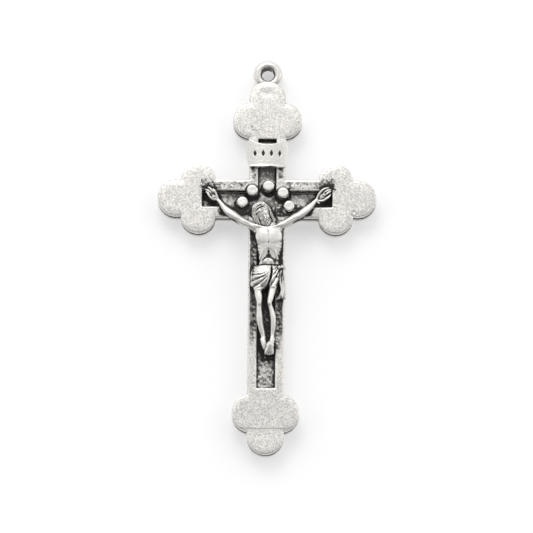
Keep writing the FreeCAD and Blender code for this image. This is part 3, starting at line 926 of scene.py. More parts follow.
def dense(node, voxel):
    """A close, even mesh of a CAD node, ready to be worn. Its edges round off by about a voxel."""
    source = NODES[node].data.copy()
    source.transform(Matrix.Scale(1000.0, 4))
    temporary = link_object(node + "_tmp", source)
    remesh = temporary.modifiers.new("even", "REMESH")
    remesh.mode = "VOXEL"
    remesh.voxel_size = voxel
    mesh = evaluated_mesh(temporary)
    mesh.transform(Matrix.Scale(MM, 4))
    bpy.data.objects.remove(temporary)
    bpy.data.meshes.remove(source)
    mesh.materials.clear()
    shade_smooth(mesh)
    return link_object(node + "_cast", mesh)


# the point attribute holds blackening together with painted shade, painted shadow and painted
# highlights
def set_tarnish_and_shade(ob, values):
    attribute = ob.data.attributes.new("tarnish", "FLOAT", "POINT")
    attribute.data.foreach_set("value", np.asarray(values, np.float32))


def hollows(ob, stops):
    """How far each point lies below its surroundings, mm, after each number of relaxings."""
    pos, normal = points(ob)
    edges = np.empty(len(ob.data.edges) * 2, np.int32)
    ob.data.edges.foreach_get("vertices", edges)
    edges = edges.reshape(-1, 2)
    smooth, done, out = pos.copy(), 0, []
    for stop in stops:
        while done < stop:
            smooth = relax(smooth, edges, 0.6)
            done += 1
        out.append(((smooth - pos) * normal).sum(1))
    return out


def along(x, z, line, width):
    """1 on a line drawn through points in (x, z), fading out at about width mm from it."""
    best = np.full(len(x), 9.0)
    for (x0, z0), (x1, z1) in zip(line[:-1], line[1:]):
        dx, dz = x1 - x0, z1 - z0
        t = np.clip(((x - x0) * dx + (z - z0) * dz) / (dx * dx + dz * dz), 0, 1)
        best = np.minimum(best, np.hypot(x - x0 - t * dx, z - z0 - t * dz))
    return np.exp(-(best / width) ** 2)


# ------------------------------------------------------------------ figure's blackening and painted shade
# Blackened lines on the trunk: strength, width, points
BLACK_LINES = (
    (0.66, 0.28, [(0.24, -23.80), (0.30, -24.30), (0.24, -24.85)]),
    (0.62, 0.17, [(0.24, -24.75), (-0.20, -25.00), (-0.56, -25.50), (-0.60, -25.85)]),
    (0.62, 0.17, [(0.26, -24.75), (0.74, -25.00), (1.08, -25.40), (1.14, -25.85)]),
    (0.32, 0.10, [(0.24, -21.4), (0.25, -22.6), (0.25, -23.8)]),
    (0.30, 0.09, [(-1.0, -22.95), (-0.3, -23.08), (0.2, -22.98)]),
    (0.30, 0.09, [(0.4, -23.0), (1.0, -23.1), (1.7, -22.8)]),
)


def figure_tone(ob):
    pos, normal = points(ob)
    fine, broad = hollows(ob, (6, 36))
    x, z, height = pos[:, 0], pos[:, 2], -pos[:, 1]
    # hollows, more strongly in the hair
    hair = ramp(np.hypot(x - HEAD_C[0], z - HEAD_C[2]), 1.9, 1.5) * (height > 2.15)
    tone = np.clip(fine * (30.0 + 120.0 * hair), -0.30 - 0.20 * hair, 0.95 + 0.45 * hair)
    tone += np.clip(broad * (7.0 + 9.0 * hair), -0.22, 0.65 + 0.30 * hair)
    tone += 0.15 * mottle(pos, 0.34, 1.9) + 0.13 * mottle(pos, 0.17, 5.9)
    # painted shade: sides turned away from the front are darker
    tone += 0.80 * ramp(normal[:, 1], -0.90, -0.35) * (height > 1.6) * (1 - 0.95 * hair)
    tone -= 0.46 * hair
    # a dark ring round a brighter face
    face = np.hypot((x + 0.43) / 0.74, (z + 19.38) / 1.02)
    tone += hair * (0.75 * np.exp(-((face - 1.16) / 0.13) ** 2) - 0.42 * ramp(face, 1.05, 0.80)
                    + ramp(face, 1.20, 1.36) * (0.50 * mottle(pos, 0.30, 3.7) - 0.08))
    # arms: mottled blackening, and painted shade on their undersides
    arm = ramp(np.abs(x - 0.1), 1.9, 2.5) * ramp(z, -20.6, -20.0)
    tone += arm * (0.55 * ramp(-normal[:, 2], 0.15, 0.70) + 0.20 * mottle(pos, 0.55, 4.2)
                   + 0.10 * mottle(pos, 0.22, 7.2) + 0.06)
    tone += 0.55 * ramp(height, 1.75, 1.42)                      # where it meets the cross
    # the cloth's upper edge
    tone += (0.55 * np.exp(-((z + 25.99) / 0.11) ** 2) * ramp(np.abs(x - 0.1), 1.9, 1.2)
             * (height > 2.0))
    # trunk: its lines, and a stain over ribs and belly
    patchy = 0.85 + 0.22 * mottle(pos, 0.40, 3.0)
    for strength, width, line in BLACK_LINES:
        tone += strength * along(x, z, line, width) * patchy
    tone += (0.26 * between(z, -26.05, -25.85, -23.5, -22.8) * ramp(np.abs(x - 0.25), 2.2, 1.9)
             * ramp(height, 1.7, 2.1) * (0.8 + 0.9 * mottle(pos, 0.42, 6.6)))
    # cloth; then brighter thighs and knees; then painted shade round the nail in the feet, over the
    # post under it
    tone += 0.30 * between(z, -28.9, -28.7, -26.05, -25.95) * (height > 2.0)
    tone -= ((0.14 - 0.18 * mottle(pos, 0.40, 9.1)) * between(z, -33.6, -32.8, -29.3, -28.9)
             * ramp(height, 1.9, 2.3))
    tone += 1.10 * ramp(np.hypot(x - 0.55, z + 36.55), 0.66, 0.56) * ramp(height, 2.45, 2.2)
    return tone


corpus = thin(sculpt_figure(), 185000)
set_tarnish_and_shade(corpus, figure_tone(corpus))
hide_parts("corpus")
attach(corpus, "root")


# ------------------------------------------------------- the worn castings
FLOOR_HALF, FLOOR_TOP, FLOOR_BASE = 1.20, -8.82, -41.97      # the sunk field: upright
ARM_X, ARM_HALF_Z, ARM_MID_Z = 8.49, 1.085, -16.845         # and arms
STUDS = [node for node in NODES if node.startswith("halo_stud")]
MOST_TRIANGLES = 190000


def field_edge(x, z):
    """Distance into the sunk field's outline, mm: positive inside it."""
    up = np.minimum(FLOOR_HALF - np.abs(x), np.minimum(FLOOR_TOP - z, z - FLOOR_BASE))
    arm = np.minimum(ARM_X - np.abs(x), ARM_HALF_Z - np.abs(z - ARM_MID_Z))
    return np.maximum(up, arm)


def from_surface(pos, ob):
    """Distance in mm from each point to an object's surface, at most FAR."""
    tree = BVHTree.FromObject(ob, bpy.context.evaluated_depsgraph_get())
    out = np.full(len(pos), FAR)
    for i, p in enumerate(pos * MM):
        hit = tree.find_nearest(Vector(p), FAR * MM)
        if hit[0] is not None:
            out[i] = hit[3] / MM
    return out


def nearest_seen(from_x, from_z, x, z):
    """For each (x, z), the (place, index, distance) of the nearest of the from points."""
    tree = KDTree(len(from_x))
    for i, (a, b) in enumerate(zip(from_x, from_z)):
        tree.insert((a, 0.0, b), i)
    tree.balance()
    return [tree.find((a, 0.0, b)) for a, b in zip(x, z)]


def from_figure(x, z):
    """How far each place lies from the figure's outline, mm, seen square on; nought behind it."""
    pos = points(corpus)[0][::4]
    return np.array([hit[2] for hit in nearest_seen(pos[:, 0], pos[:, 2], x, z)])


def stud_place(node):
    """(centre x, centre z, front height) in mm."""
    lo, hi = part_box(node)
    return (lo.x + hi.x) / 2 / MM, (lo.z + hi.z) / 2 / MM, -lo.y / MM


def round_studs(x, z, full_radius):
    """1 close round the studs, a little below their centres: blackening round their feet and a
    painted shadow beneath them.
    """
    total = 0.0
    for node in STUDS:
        cx, cz, _ = stud_place(node)
        total = total + ramp(np.hypot(x - cx, z - cz + 0.12), 1.22, full_radius)
    return total


def side_walls(normal, height, inside):
    """(the outer side walls, the strength of the joint line along them)."""
    outside = inside < -0.4
    side = (np.abs(normal[:, 1]) < 0.6) & outside
    joint = side | (outside & (np.abs(height) < 0.16))
    return side, np.where(joint, np.exp(-(height / 0.40) ** 2), 0.0)


def let_in(pos, normal, seam):
    """Sink the joint line into the walls, in place."""
    pos[:, 0::2] -= normal[:, 0::2] * seam[:, None] * 0.09


# Rubbed patches of the sunk field's floor: x, z, half width, half height
RUBBED = ((-5.3, -17.2, 0.9, 0.5), (4.2, -17.1, 1.3, 0.5), (-0.3, -41.0, 1.1, 1.2),
          (0.3, -14.4, 0.7, 0.5), (0.9, -19.4, 0.5, 0.5), (-6.6, -16.4, 0.5, 0.3),
          (0.0, -39.0, 0.8, 1.4))


def floor_tone(pos, inside):
    """The sunk field: charcoal, black at its edges and round the studs (with painted shadow below
    them), with rubbed flecks.
    """
    x, z = pos[:, 0], pos[:, 2]
    speckle = mottle(pos, 0.24, 1.7) * 0.6 + mottle(pos, 0.13, 6.1) * 0.4
    tone = 0.575 + 0.12 * speckle + 0.05 * mottle(pos, 1.9, 3.3)
    tone += 0.30 * ramp(inside, 0.26, 0.10)
    for cx, cz, rx, rz in RUBBED:
        patch = np.exp(-((x - cx) / rx) ** 2 - ((z - cz) / rz) ** 2)
        tone -= patch * ramp(speckle, -0.05, 0.40) * 0.42
    tone -= 0.16 * ramp(speckle, 0.42, 0.62)
    # darker and patchier at the foot; painted light in a band just below the top, a deep corner that
    # gets little light
    foot = ramp(z, -36.0, -38.5)
    tone += 0.06 * foot - 0.07 * foot * speckle
    tone += 0.20 * mottle(pos, 0.20, 5.5) * ramp(z, -36.8, -38.2)
    tone -= 0.38 * between(z, -9.95, -9.75, -9.16, -9.02)
    return tone + round_studs(x, z, 0.96) * 0.35


def cast_back():
    ob = dense("back_plate", voxel=0.10)
    pos, normal = points(ob)
    height = -pos[:, 1]
    inside = field_edge(pos[:, 0], pos[:, 2])
    floor = ramp(-normal[:, 1], 0.5, 0.9) * (inside > 0.02)
    rear = ramp(normal[:, 1], 0.5, 0.9)
    side, seam = side_walls(normal, height, inside)
    # uneven floor and rear
    pos[:, 1] -= (floor * (0.020 * mottle(pos, 0.32, 2.2) + 0.010 * mottle(pos, 0.17, 5.0))
                  * ramp(inside, 0.05, 0.3))
    pos[:, 1] -= rear * (0.010 + 0.010 * mottle(pos, 1.5, 7.7))
    let_in(pos, normal, seam)
    set_points(ob, pos)

    tone = np.where(floor > 0.3, floor_tone(pos, inside), 0.0)
    # painted shade: the floor darkens close round the figure's outline, where the raised figure
    # shades it
    k = np.flatnonzero(floor > 0.3)
    tone[k] += 0.36 * ramp(from_figure(pos[k, 0], pos[k, 2]), 0.85, 0.15)
    tone += seam * (1.0 + 0.16 * mottle(pos, 0.9, 5.2))
    tone += rear * (0.20 + 0.07 * mottle(pos, 2.4, 1.1) + 0.07 * mottle(pos, 0.3, 4.4))
    # painted shade: the side walls darker at their back edge by the table and on their undersides
    tone += side * (ramp(height, -0.9, -1.2) * 0.15 + ramp(-normal[:, 2], 0.10, 0.55) * 0.12)
    set_tarnish_and_shade(ob, tone)
    return thin(ob, MOST_TRIANGLES)


def frame_tone(pos, normal, height, inside, rim, edge, wall_up):
    """The front frame: rim is its front face, edge the distance in from its outline,
    wall_up how far the nearest outer wall of a lobe faces upwards."""
    x, z = pos[:, 0], pos[:, 2]
    side, seam = side_walls(normal, height, inside)
    near = from_surface(pos, corpus)
    speckle = mottle(pos, 0.22, 1.7) * 0.6 + mottle(pos, 0.11, 6.1) * 0.4
    fleck = mottle(pos, 0.20, 4.7) * 0.6 + mottle(pos, 0.34, 8.1) * 0.4
    broad = mottle(pos, 1.9, 3.3)
    sunk = (inside > -0.03) & (height < 1.12) & (normal[:, 1] < 0.4)
    tone = np.where(sunk, 0.95 + 0.08 * speckle, 0.0)

    # the rim beside the trunk and legs, then near the figure
    rise = rim * (inside < 0.03)
    beside = ramp(z + 0.7 * broad, -38.6, -34.2) * ramp(z, -20.0, -21.0) * (np.abs(x) < 2.7)
    tone += rise * beside * (0.72 + 0.12 * speckle + 0.06 * broad)
    tone += rise * ramp(near, 1.5, 0.15) * (0.38 + 0.17 * fleck) * (1 - 0.8 * beside)
    tone += rise * ramp(near, 0.50, 0.10) * 0.22 * (1 - beside)
    # the crossbar's lower rim is dark where the arms pass over it
    under = ramp(np.abs(x + 0.3), 6.6, 5.3) * between(z, -19.45, -19.1, -17.95, -17.6)
    tone += rise * under * (0.80 + 0.14 * fleck)
    # darker close round the figure's outline: blackening in the crevice, with painted shade where the
    # figure stands off the rim
    k = np.flatnonzero((rise > 0.3) & (np.maximum(beside, near < 1.6) > 0))
    tone[k] += 0.26 * ramp(from_figure(x[k], z[k]), 0.65, 0.12)
    # the crossbar's upper rim; and the upright above it, blackened, with painted shadow under the
    # scroll's lower edge
    bar = between(np.abs(x), 2.0, 2.6, 8.6, 9.4) * between(z, -16.0, -15.7, -14.2, -13.9)
    tone += rise * bar * (0.60 + 0.10 * fleck)
    tone += rise * ramp(np.abs(z + 13.0), 1.6, 1.0) * (np.abs(x) < 2.4) * (0.58 + 0.18 * fleck)

    # open faces; the lowest lobe, lightened below its crease with painted light; the top lobe's foot
    plain = rim * ramp(edge, 0.35, 1.4) * (inside < -0.3)
    tone += plain * (0.19 + (0.15 + 0.12 * (z < -42.3)) * mottle(pos, 0.17, 2.6) + 0.035 * broad)
    tone += 0.13 * plain * ramp(z, -2.0, -6.5) * (z > -9)
    # painted light: the lowest lobe is lighter below its crease, where it leans forward
    tone -= rim * ramp(z, -47.4, -49.0) * 0.40
    tone -= rim * (z < -43.0) * ramp(edge, 1.0, 0.3) * 0.16
    tone += side * 0.10 * ramp(height, 1.15, 0.9)
    tone += 0.16 * rim * between(z, -8.9, -8.6, -8.0, -5.6)
    tone += round_studs(x, z, 0.92) * 0.7 * (normal[:, 1] < 0.3)
    # the joint line; painted shade on the walls' undersides and on the lobes' upper edges
    tone += seam * (1.0 + 0.16 * mottle(pos, 0.9, 5.2))
    tone += side * ramp(-normal[:, 2], 0.10, 0.55) * ramp(height, 1.20, 1.02) * 0.10
    upper = ramp(wall_up, 0.10, 0.75)
    tone += rim * ramp(edge, 0.55, 0.12) * upper * (inside < -0.3) * 0.40
    # bright lines on the outer edge and the lip of the sunk field: rubbed wear, with a painted
    # highlight on the outer edge, held back on the upper edges
    dim = np.maximum(beside, under)
    tone -= (rise * ramp(edge - 0.34 * (1 - 0.30 * dim), 0.06, -0.16) * (0.62 + 0.35 * dim)
             * (1 - 0.75 * upper * (1 - dim)))
    tone -= (rise * ramp(np.abs(inside), 0.26, 0.08) * 0.40 * ramp(near, 0.35, 0.8)
             * (1 - 0.9 * dim))
    # painted shade on the upper walls; patchiness; a painted highlight along the lowest lobe's crease
    tone += (0.42 * ramp(normal[:, 1], -0.75, -0.35) * ramp(normal[:, 2], -0.1, 0.4)
             * (inside < -0.3))
    tone += rim * 0.10 * mottle(pos, 0.35, 8.8) * (1 - beside)
    tone -= rim * 0.34 * np.exp(-((z + 47.16) / 0.10) ** 2) * (np.abs(x) < 2.2)
    return tone


# Small casting flaws on the lower lobe of the +x arm's trefoil: x, z, radius
FLAWS = ((11.35, -18.55, 0.16), (11.75, -18.85, 0.12), (11.05, -19.00, 0.10))


def cast_frame():
    ob = dense("front_frame", voxel=0.088)
    pos, normal = points(ob)
    height = -pos[:, 1]
    x, z = pos[:, 0].copy(), pos[:, 2].copy()
    inside = field_edge(x, z)
    front = ramp(-normal[:, 1], 0.5, 0.9)
    rim = front * ramp(height, 0.9, 1.15)
    # distance from the outer edge, taken from the side walls' own points
    wall = np.flatnonzero((np.abs(normal[:, 1]) < 0.35) & (inside < -0.4))[::3]
    hits = nearest_seen(x[wall], z[wall], x, z)
    edge = np.array([hit[2] for hit in hits])
    lobes = (np.abs(x) > 9.7) | (z > -8.0) | (z < -42.5)
    wall_up = normal[wall[[hit[1] for hit in hits]], 2] * lobes
    # lobes fall away a little to their edges; the lowest lobe is creased and leans forward
    drop = 0.045 * (1 - ramp(edge, 0.0, 0.9)) * rim
    drop += rim * ramp(z, -47.22, -47.32) * 0.036 * np.clip((z + 50.66) / 3.4, 0, 1)
    # grain of the casting, and hammer-soft unevenness
    grain = 0.004 * mottle(pos, 0.24) + 0.003 * mottle(pos, 0.17, 9.3) + 0.007 * mottle(pos, 2.2, 4.1)
    floor = front * ramp(height, 0.7, 0.3) * (inside > -0.1)
    grain = grain * rim + floor * (0.022 * mottle(pos, 0.30, 2.2) + 0.012 * mottle(pos, 0.16, 5.0))
    for fx, fz, radius in FLAWS:
        drop += rim * 0.09 * np.exp(-((x - fx) ** 2 + (z - fz) ** 2) / radius ** 2)
    pos[:, 1] += drop - grain
    let_in(pos, normal, side_walls(normal, height, inside)[1])
    set_points(ob, pos)
    set_tarnish_and_shade(ob, frame_tone(pos, normal, height, inside, rim, edge, wall_up))
    return thin(ob, MOST_TRIANGLES)


def cast_scroll():
    ob = dense("title_scroll", voxel=0.055)
    pos, normal = points(ob)
    x, height, z = pos[:, 0], -pos[:, 1], pos[:, 2]
    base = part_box("title_scroll")[0].z / MM
    low = ramp(z, base + 0.42, base + 0.12)
    pos[:, 1] -= 0.05 * low * (normal[:, 1] < 0) + 0.006 * mottle(pos, 0.22)
    set_points(ob, pos)
    # blotches, and darker low down where the scroll meets the rim: blackening with painted shade
    tone = 0.12 * mottle(pos, 0.45, 2.0) + 0.22 * ramp(height, 1.55, 1.30)
    for cx in (-1.62, -0.54, 0.54, 1.62):                   # the four cut lozenges, blackened
        lozenge = np.abs(x - cx) / 0.23 + np.abs(z + 10.98) / 0.50
        tone += ramp(lozenge, 1.05, 0.80) * (normal[:, 1] < 0.2)
    set_tarnish_and_shade(ob, tone)
    return ob


def cast_eye():
    """Uneven ring, dark inside its hole and at its foot."""
    ob = dense("bail_eye", voxel=0.06)
    pos, normal = points(ob)
    pos -= normal * (0.010 * mottle(pos, 0.9)[:, None] + 0.004 * mottle(pos, 0.2)[:, None])
    set_points(ob, pos)
    radius = np.hypot(pos[:, 0], pos[:, 2])
    set_tarnish_and_shade(ob, 0.75 * ramp(radius, 1.12, 0.94) + 0.55 * ramp(pos[:, 2], -1.25, -1.75)
                + 0.08 * mottle(pos, 0.4))
    return ob


STUD_RADIUS = 0.80


def cast_stud(node, number):
    """A low flat dome, dark round its foot, with painted light on its lower half; the number shifts
    its unevenness.
    """
    ob = dense(node, voxel=0.05)
    pos, normal = points(ob)
    cx, cz, top = stud_place(node)
    mid = top - STUD_RADIUS
    radius = np.hypot(pos[:, 0] - cx, pos[:, 2] - cz) / STUD_RADIUS
    dome = mid + STUD_RADIUS * 0.80 * np.sqrt(np.clip(1 - np.clip(radius, 0, 1) ** 7.5, 0, 1))
    pos[:, 1] = np.where((-pos[:, 1] > mid + 0.02) & (radius < 1.05), -dome, pos[:, 1])
    pos -= (normal * (0.020 * mottle(pos, 0.8, 3.1 * number)[:, None]
                      + 0.008 * mottle(pos, 0.25, 1.3 * number)[:, None])
            * ramp(-pos[:, 1], 0.1, 0.6)[:, None])
    set_points(ob, pos)
    # dark round the foot; painted light makes the dome's lower half lighter
    tone = (0.90 * ramp(-pos[:, 1], top - 1.05, top - 1.30)
            - 0.20 * ramp(pos[:, 2] - cz, -0.20, -0.60) - 0.10)
    if "outer" in node:
        tone += 0.12 + 0.22 * mottle(pos, 0.4, number)
    set_tarnish_and_shade(ob, tone + 0.12 * mottle(pos, 0.3, 2.0 * number))
    return ob


CAST = {"back_plate": cast_back(), "front_frame": cast_frame(),
        "title_scroll": cast_scroll(), "bail_eye": cast_eye()}
SLOTS = {"back_plate": "back_metal", "front_frame": "frame_metal",
         "title_scroll": "scroll_metal", "bail_eye": "eye_metal"}
for number, node in enumerate(sorted(STUDS)):
    CAST[node] = cast_stud(node, number)
    SLOTS[node] = "stud_metal"
for node, ob in CAST.items():
    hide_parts(node)
    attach(ob, "root")


# -------------------------------------------------------------- materials
SILVER = (0.86, 0.84, 0.81)
BRIGHT_SILVER = (0.92, 0.90, 0.87)
# the dark of the antique blackening, also used for painted shade and painted shadow
BLACKENING_AND_SHADE = (0.050, 0.048, 0.046)


def connect(tree, *pairs):
    for a, b in pairs:
        tree.links.new(a, b)


class Shader:
    """Short ways to add nodes to a material."""

    def __init__(self, mat):
        mat.use_nodes = True
        self.tree = mat.node_tree
        self.tree.nodes.clear()
        self.new = self.tree.nodes.new

    def noise(self, scale, detail, roughness=0.55, stretch=None):
        node = self.new("ShaderNodeTexNoise")
        node.inputs["Scale"].default_value = scale
        node.inputs["Detail"].default_value = detail
        node.inputs["Roughness"].default_value = roughness
        place = self.coords.outputs["Object"]
        if stretch:
            mapping = self.new("ShaderNodeMapping")
            mapping.inputs["Scale"].default_value = stretch
            connect(self.tree, (place, mapping.inputs["Vector"]))
            place = mapping.outputs["Vector"]
        connect(self.tree, (place, node.inputs["Vector"]))
        return node.outputs["Fac"]

    def math(self, operation, *values):
        node = self.new("ShaderNodeMath")
        node.operation = operation
        for i, value in enumerate(values):
            if isinstance(value, (int, float)):
                node.inputs[i].default_value = value
            else:
                connect(self.tree, (value, node.inputs[i]))
        return node.outputs[0]

    def remap(self, value, lo, hi, to_lo=0.0, to_hi=1.0, smooth=True):
        node = self.new("ShaderNodeMapRange")
        node.interpolation_type = "SMOOTHSTEP" if smooth else "LINEAR"
        for name, number in (("From Min", lo), ("From Max", hi), ("To Min", to_lo),
                             ("To Max", to_hi)):
            node.inputs[name].default_value = number
        connect(self.tree, (value, node.inputs["Value"]))
        return node.outputs["Result"]

    def swing(self, noise, amount):
        """Noise centred on nought, times amount."""
        return self.math("MULTIPLY", self.math("SUBTRACT", noise, 0.5), amount)


def antique(name, reach, depth, bias, rough, grain, wear, silver=SILVER, pit=0.2):
    """Antique silver: bright worn metal with blackened hollows.

    reach is how far the blackening looks for neighbours, in mm, and depth how strongly it
    takes; bias blackens everything; wear brightens crests; grain and pit roughen the cast.
    """
    mat = bpy.data.materials.new(name)
    sh = Shader(mat)
    out = sh.new("ShaderNodeOutputMaterial")
    bsdf = sh.new("ShaderNodeBsdfPrincipled")
    sh.coords = sh.new("ShaderNodeTexCoord")
    occlusion = sh.new("ShaderNodeAmbientOcclusion")
    occlusion.samples = 12
    occlusion.inputs["Distance"].default_value = reach * MM
    geometry = sh.new("ShaderNodeNewGeometry")

    # how black: hollows, blots and the painted attribute (blackening with painted shade and
    # highlights), less the worn crests
    fine = sh.noise(scale=9000, detail=2.0)
    medium = sh.noise(scale=2600, detail=4.0, roughness=0.6)
    broad = sh.noise(scale=420, detail=2.0)
    hollow = sh.math("SUBTRACT", 1.0, occlusion.outputs["AO"])
    hollow = sh.math("MULTIPLY", hollow, depth)
    blots = sh.swing(medium, 0.55)
    wide_blots = sh.swing(broad, 0.35)
    black = sh.math("ADD", sh.math("ADD", hollow, blots), sh.math("ADD", wide_blots, bias))
    painted = sh.new("ShaderNodeAttribute")
    painted.attribute_name = "tarnish"
    black = sh.math("ADD", black, painted.outputs["Fac"])
    crest = sh.remap(geometry.outputs["Pointiness"], 0.50, 0.60)
    black = sh.math("SUBTRACT", black, sh.math("MULTIPLY", crest, wear))
    mask = sh.remap(black, 0.22, 0.78)

    # colour, mottled by the grain and pits, and lifted where the value is lowest: the most worn
    # places and the painted highlights
    mix = sh.new("ShaderNodeMix")
    mix.data_type = "RGBA"
    mix.inputs["A"].default_value = (*silver, 1)
    mix.inputs["B"].default_value = (*BLACKENING_AND_SHADE, 1)
    tint = sh.new("ShaderNodeMix")
    tint.data_type = "RGBA"
    tint.blend_type = "MULTIPLY"
    tint.inputs["Factor"].default_value = 1.0
    shade = sh.remap(fine, 0.25, 0.75, to_lo=1.0 - 0.16 * grain, to_hi=1.0, smooth=False)
    grit = sh.noise(scale=5800, detail=2.0, roughness=0.6)
    shade = sh.math("MULTIPLY", shade, sh.remap(
        grit, 0.36, 0.60, to_lo=1.0 - 0.34 * pit, to_hi=1.0 + 0.06 * pit, smooth=False))
    shade = sh.math("MULTIPLY", shade, sh.remap(black, -0.60, -0.10, to_lo=1.13, to_hi=1.0))
    grey = sh.new("ShaderNodeCombineColor")
    connect(sh.tree, (mask, mix.inputs["Factor"]), *((shade, grey.inputs[i]) for i in range(3)),
            (mix.outputs["Result"], tint.inputs["A"]), (grey.outputs[0], tint.inputs["B"]),
            (tint.outputs["Result"], bsdf.inputs["Base Color"]))

    # blackening and painted shade are duller and barely metallic
    metallic = sh.remap(mask, 0.3, 1, to_lo=1.0, to_hi=0.20, smooth=False)
    specular = sh.remap(mask, 0.5, 1, to_lo=0.5, to_hi=0.16, smooth=False)
    roughness = sh.math("ADD", sh.remap(mask, 0, 1, to_lo=rough, to_hi=0.58, smooth=False),
                        sh.swing(medium, 0.22))

    # fine cast pitting with slight brushing along and across
    brush = sh.math("ADD", sh.noise(2400, 2.0, roughness=0.5, stretch=(1.0, 1.0, 4.0)),
                    sh.noise(2400, 2.0, roughness=0.5, stretch=(4.0, 1.0, 1.0)))
    relief = sh.math("ADD", sh.math("ADD", sh.math("MULTIPLY", fine, 0.6),
                                    sh.math("MULTIPLY", brush, 0.5)),
                     sh.math("MULTIPLY", grit, 1.1 * pit))
    bump = sh.new("ShaderNodeBump")
    bump.inputs["Strength"].default_value = 0.55 * grain
    bump.inputs["Distance"].default_value = 0.00003
    connect(sh.tree, (metallic, bsdf.inputs["Metallic"]),
            (specular, bsdf.inputs["Specular IOR Level"]),
            (roughness, bsdf.inputs["Roughness"]), (relief, bump.inputs["Height"]),
            (bump.outputs["Normal"], bsdf.inputs["Normal"]),
            (bsdf.outputs["BSDF"], out.inputs["Surface"]))
    return mat


METALS = {name: antique(name, **look) for name, look in (
    ("figure_metal", dict(silver=(0.83, 0.815, 0.785), reach=0.42, depth=1.45, bias=-0.08,
                          rough=0.35, grain=0.25, wear=0.35)),
    ("frame_metal", dict(silver=BRIGHT_SILVER, reach=0.40, depth=0.75, bias=-0.10,
                         rough=0.36, grain=1.0, wear=0.30, pit=1.0)),
    ("back_metal", dict(reach=0.45, depth=0.35, bias=-0.06, rough=0.38, grain=0.9, wear=0.15,
                        pit=0.8)),
    ("eye_metal", dict(reach=0.40, depth=0.9, bias=-0.14, rough=0.24, grain=0.3, wear=0.25)),
    ("scroll_metal", dict(reach=0.30, depth=1.6, bias=-0.12, rough=0.28, grain=0.4, wear=0.30)),
    ("stud_metal", dict(silver=BRIGHT_SILVER, reach=0.22, depth=0.25, bias=-0.30, rough=0.26,
                        grain=0.5, wear=0.15)),
    ("pin_metal", dict(reach=0.25, depth=1.2, bias=-0.05, rough=0.30, grain=0.3, wear=0.0)),
)}


def fill_slots(ob, mat):
    for slot in ob.material_slots:
        slot.link = "OBJECT"
        slot.material = mat


def dress(ob, mat):
    ob.data.materials.clear()
    ob.data.materials.append(mat)
    fill_slots(ob, mat)


dress(corpus, METALS["figure_metal"])
for node, ob in CAST.items():
    dress(ob, METALS[SLOTS[node]])
for node, ob in NODES.items():                # the CAD pieces shown as they are
    if node != "corpus" and node not in CAST:
        if not ob.material_slots:
            ob.data.materials.append(None)
        fill_slots(ob, METALS["pin_metal"])

# ------------------------------------------------------------- white table
# The pendant lies on its back, so the table is the plane just behind it. Seen from
# behind it is clear, so that the pendant's back can be looked at.
MIDDLE_Z = -0.025                             # about half way down the pendant, m
TABLE_GAP = 0.00012
TABLE_HALF = 0.16
CLEAR_REACH = TABLE_GAP * 3.5                 # rays shorter than this pass through


def table_material():
    mat = bpy.data.materials.new("white_table")
    sh = Shader(mat)
    out = sh.new("ShaderNodeOutputMaterial")
    diffuse = sh.new("ShaderNodeBsdfDiffuse")
    diffuse.inputs["Color"].default_value = (0.80, 0.80, 0.81, 1)
    glow = sh.new("ShaderNodeEmission")
    glow.inputs["Color"].default_value = (1, 1, 1, 1)
    glow.inputs["Strength"].default_value = 0.378
    white = sh.new("ShaderNodeAddShader")
    transparent = sh.new("ShaderNodeBsdfTransparent")
    mix = sh.new("ShaderNodeMixShader")
    geometry = sh.new("ShaderNodeNewGeometry")
    path = sh.new("ShaderNodeLightPath")
    near = sh.math("LESS_THAN", path.outputs["Ray Length"], CLEAR_REACH)
    clear = sh.math("MAXIMUM", near, geometry.outputs["Backfacing"])
    connect(sh.tree, (clear, mix.inputs["Fac"]), (diffuse.outputs[0], white.inputs[0]),
            (glow.outputs[0], white.inputs[1]), (white.outputs[0], mix.inputs[1]),
            (transparent.outputs[0], mix.inputs[2]), (mix.outputs[0], out.inputs["Surface"]))
    return mat


def lay_table():
    y = CAD_BOX[1].y + TABLE_GAP
    mesh = bpy.data.meshes.new("table_top")
    mesh.from_pydata([(sx * TABLE_HALF, y, MIDDLE_Z + sz * TABLE_HALF)
                      for sx, sz in ((-1, -1), (1, -1), (1, 1), (-1, 1))], [], [(0, 1, 2, 3)])
    mesh.update()
    link_object("table_top", mesh)
    mesh.materials.append(table_material())


lay_table()


# ------------------------------------------------------------------ lights
def light_world():
    """White to the lens; a white tent, darker low down, to the metal."""
    world = bpy.data.worlds.new("studio")
    bpy.context.scene.world = world
    world.use_nodes = True
    tree = world.node_tree
    tree.nodes.clear()
    out = tree.nodes.new("ShaderNodeOutputWorld")
    seen = tree.nodes.new("ShaderNodeBackground")
    seen.inputs["Color"].default_value = (1, 1, 1, 1)
    seen.inputs["Strength"].default_value = 1.0
    tent = tree.nodes.new("ShaderNodeBackground")
    tent.inputs["Color"].default_value = (1.0, 0.995, 0.985, 1)
    coords = tree.nodes.new("ShaderNodeTexCoord")
    split = tree.nodes.new("ShaderNodeSeparateXYZ")
    fade = tree.nodes.new("ShaderNodeMapRange")
    fade.interpolation_type = "SMOOTHSTEP"
    for name, number in (("From Min", -0.75), ("From Max", 0.55), ("To Min", 0.30),
                         ("To Max", 0.95)):
        fade.inputs[name].default_value = number
    path = tree.nodes.new("ShaderNodeLightPath")
    mix = tree.nodes.new("ShaderNodeMixShader")
    connect(tree, (coords.outputs["Generated"], split.inputs[0]),
            (split.outputs["Z"], fade.inputs["Value"]),
            (fade.outputs[0], tent.inputs["Strength"]),
            (path.outputs["Is Camera Ray"], mix.inputs["Fac"]), (tent.outputs[0], mix.inputs[1]),
            (seen.outputs[0], mix.inputs[2]), (mix.outputs[0], out.inputs["Surface"]))


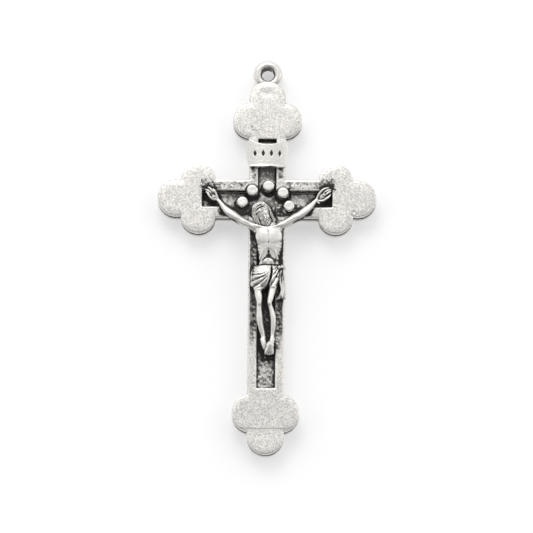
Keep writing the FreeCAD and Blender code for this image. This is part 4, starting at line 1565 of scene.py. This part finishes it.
def area(name, place, size, power, color=(1, 1, 1)):
    """A square lamp aimed at the pendant's middle."""
    lamp = bpy.data.lights.new(name, "AREA")
    lamp.shape = "SQUARE"
    lamp.size = size
    lamp.energy = power
    lamp.color = color
    ob = bpy.data.objects.new(name, lamp)
    ob.location = place
    ob.rotation_mode = "QUATERNION"
    aim = Vector((0, 0, MIDDLE_Z)) - Vector(place)
    ob.rotation_quaternion = aim.to_track_quat("-Z", "Y")
    bpy.context.scene.collection.objects.link(ob)


light_world()
area("key_softbox", place=(-0.05, -0.26, 0.20), size=0.16, power=0.20, color=(1.0, 0.99, 0.975))
area("fill_softbox", place=(0.26, -0.20, 0.02), size=0.16, power=0.04)
area("fill_left", place=(-0.28, -0.18, -0.04), size=0.16, power=0.03)
area("back_light", place=(0.10, 0.30, 0.14), size=0.20, power=0.20)

# ------------------------------------------------------------------ camera
VIEW_SIZE = 0.0701303                         # m seen across the picture's longer side
VIEW_DISTANCE = 0.60
VIEW_RIGHT, VIEW_UP = -0.000197364822, -0.0250653324      # picture's centre from the origin, m
SENSOR = 36.0
TILT, ROLL = math.radians(12.0), math.radians(0.45)


def place_camera():
    """From the front and a little below, looking slightly up."""
    level = Vector((1, 0, 0))
    upright = Vector((0, -math.sin(TILT), math.cos(TILT)))
    forward = Vector((0, math.cos(TILT), math.sin(TILT)))
    right = level * math.cos(ROLL) + upright * math.sin(ROLL)
    up = -level * math.sin(ROLL) + upright * math.cos(ROLL)
    place = right * VIEW_RIGHT + up * VIEW_UP - forward * VIEW_DISTANCE
    camera = bpy.data.cameras.new("camera")
    camera.sensor_width = SENSOR
    camera.lens = SENSOR * VIEW_DISTANCE / VIEW_SIZE
    camera.clip_start = 0.01
    camera.clip_end = 20
    ob = bpy.data.objects.new("camera", camera)
    ob.matrix_world = Matrix((
        *((right[i], up[i], -forward[i], place[i]) for i in range(3)), (0, 0, 0, 1)))
    bpy.context.scene.collection.objects.link(ob)
    bpy.context.scene.camera = ob


place_camera()
bpy.context.scene.view_settings.view_transform = "Standard"
bpy.context.scene.view_settings.look = "None"
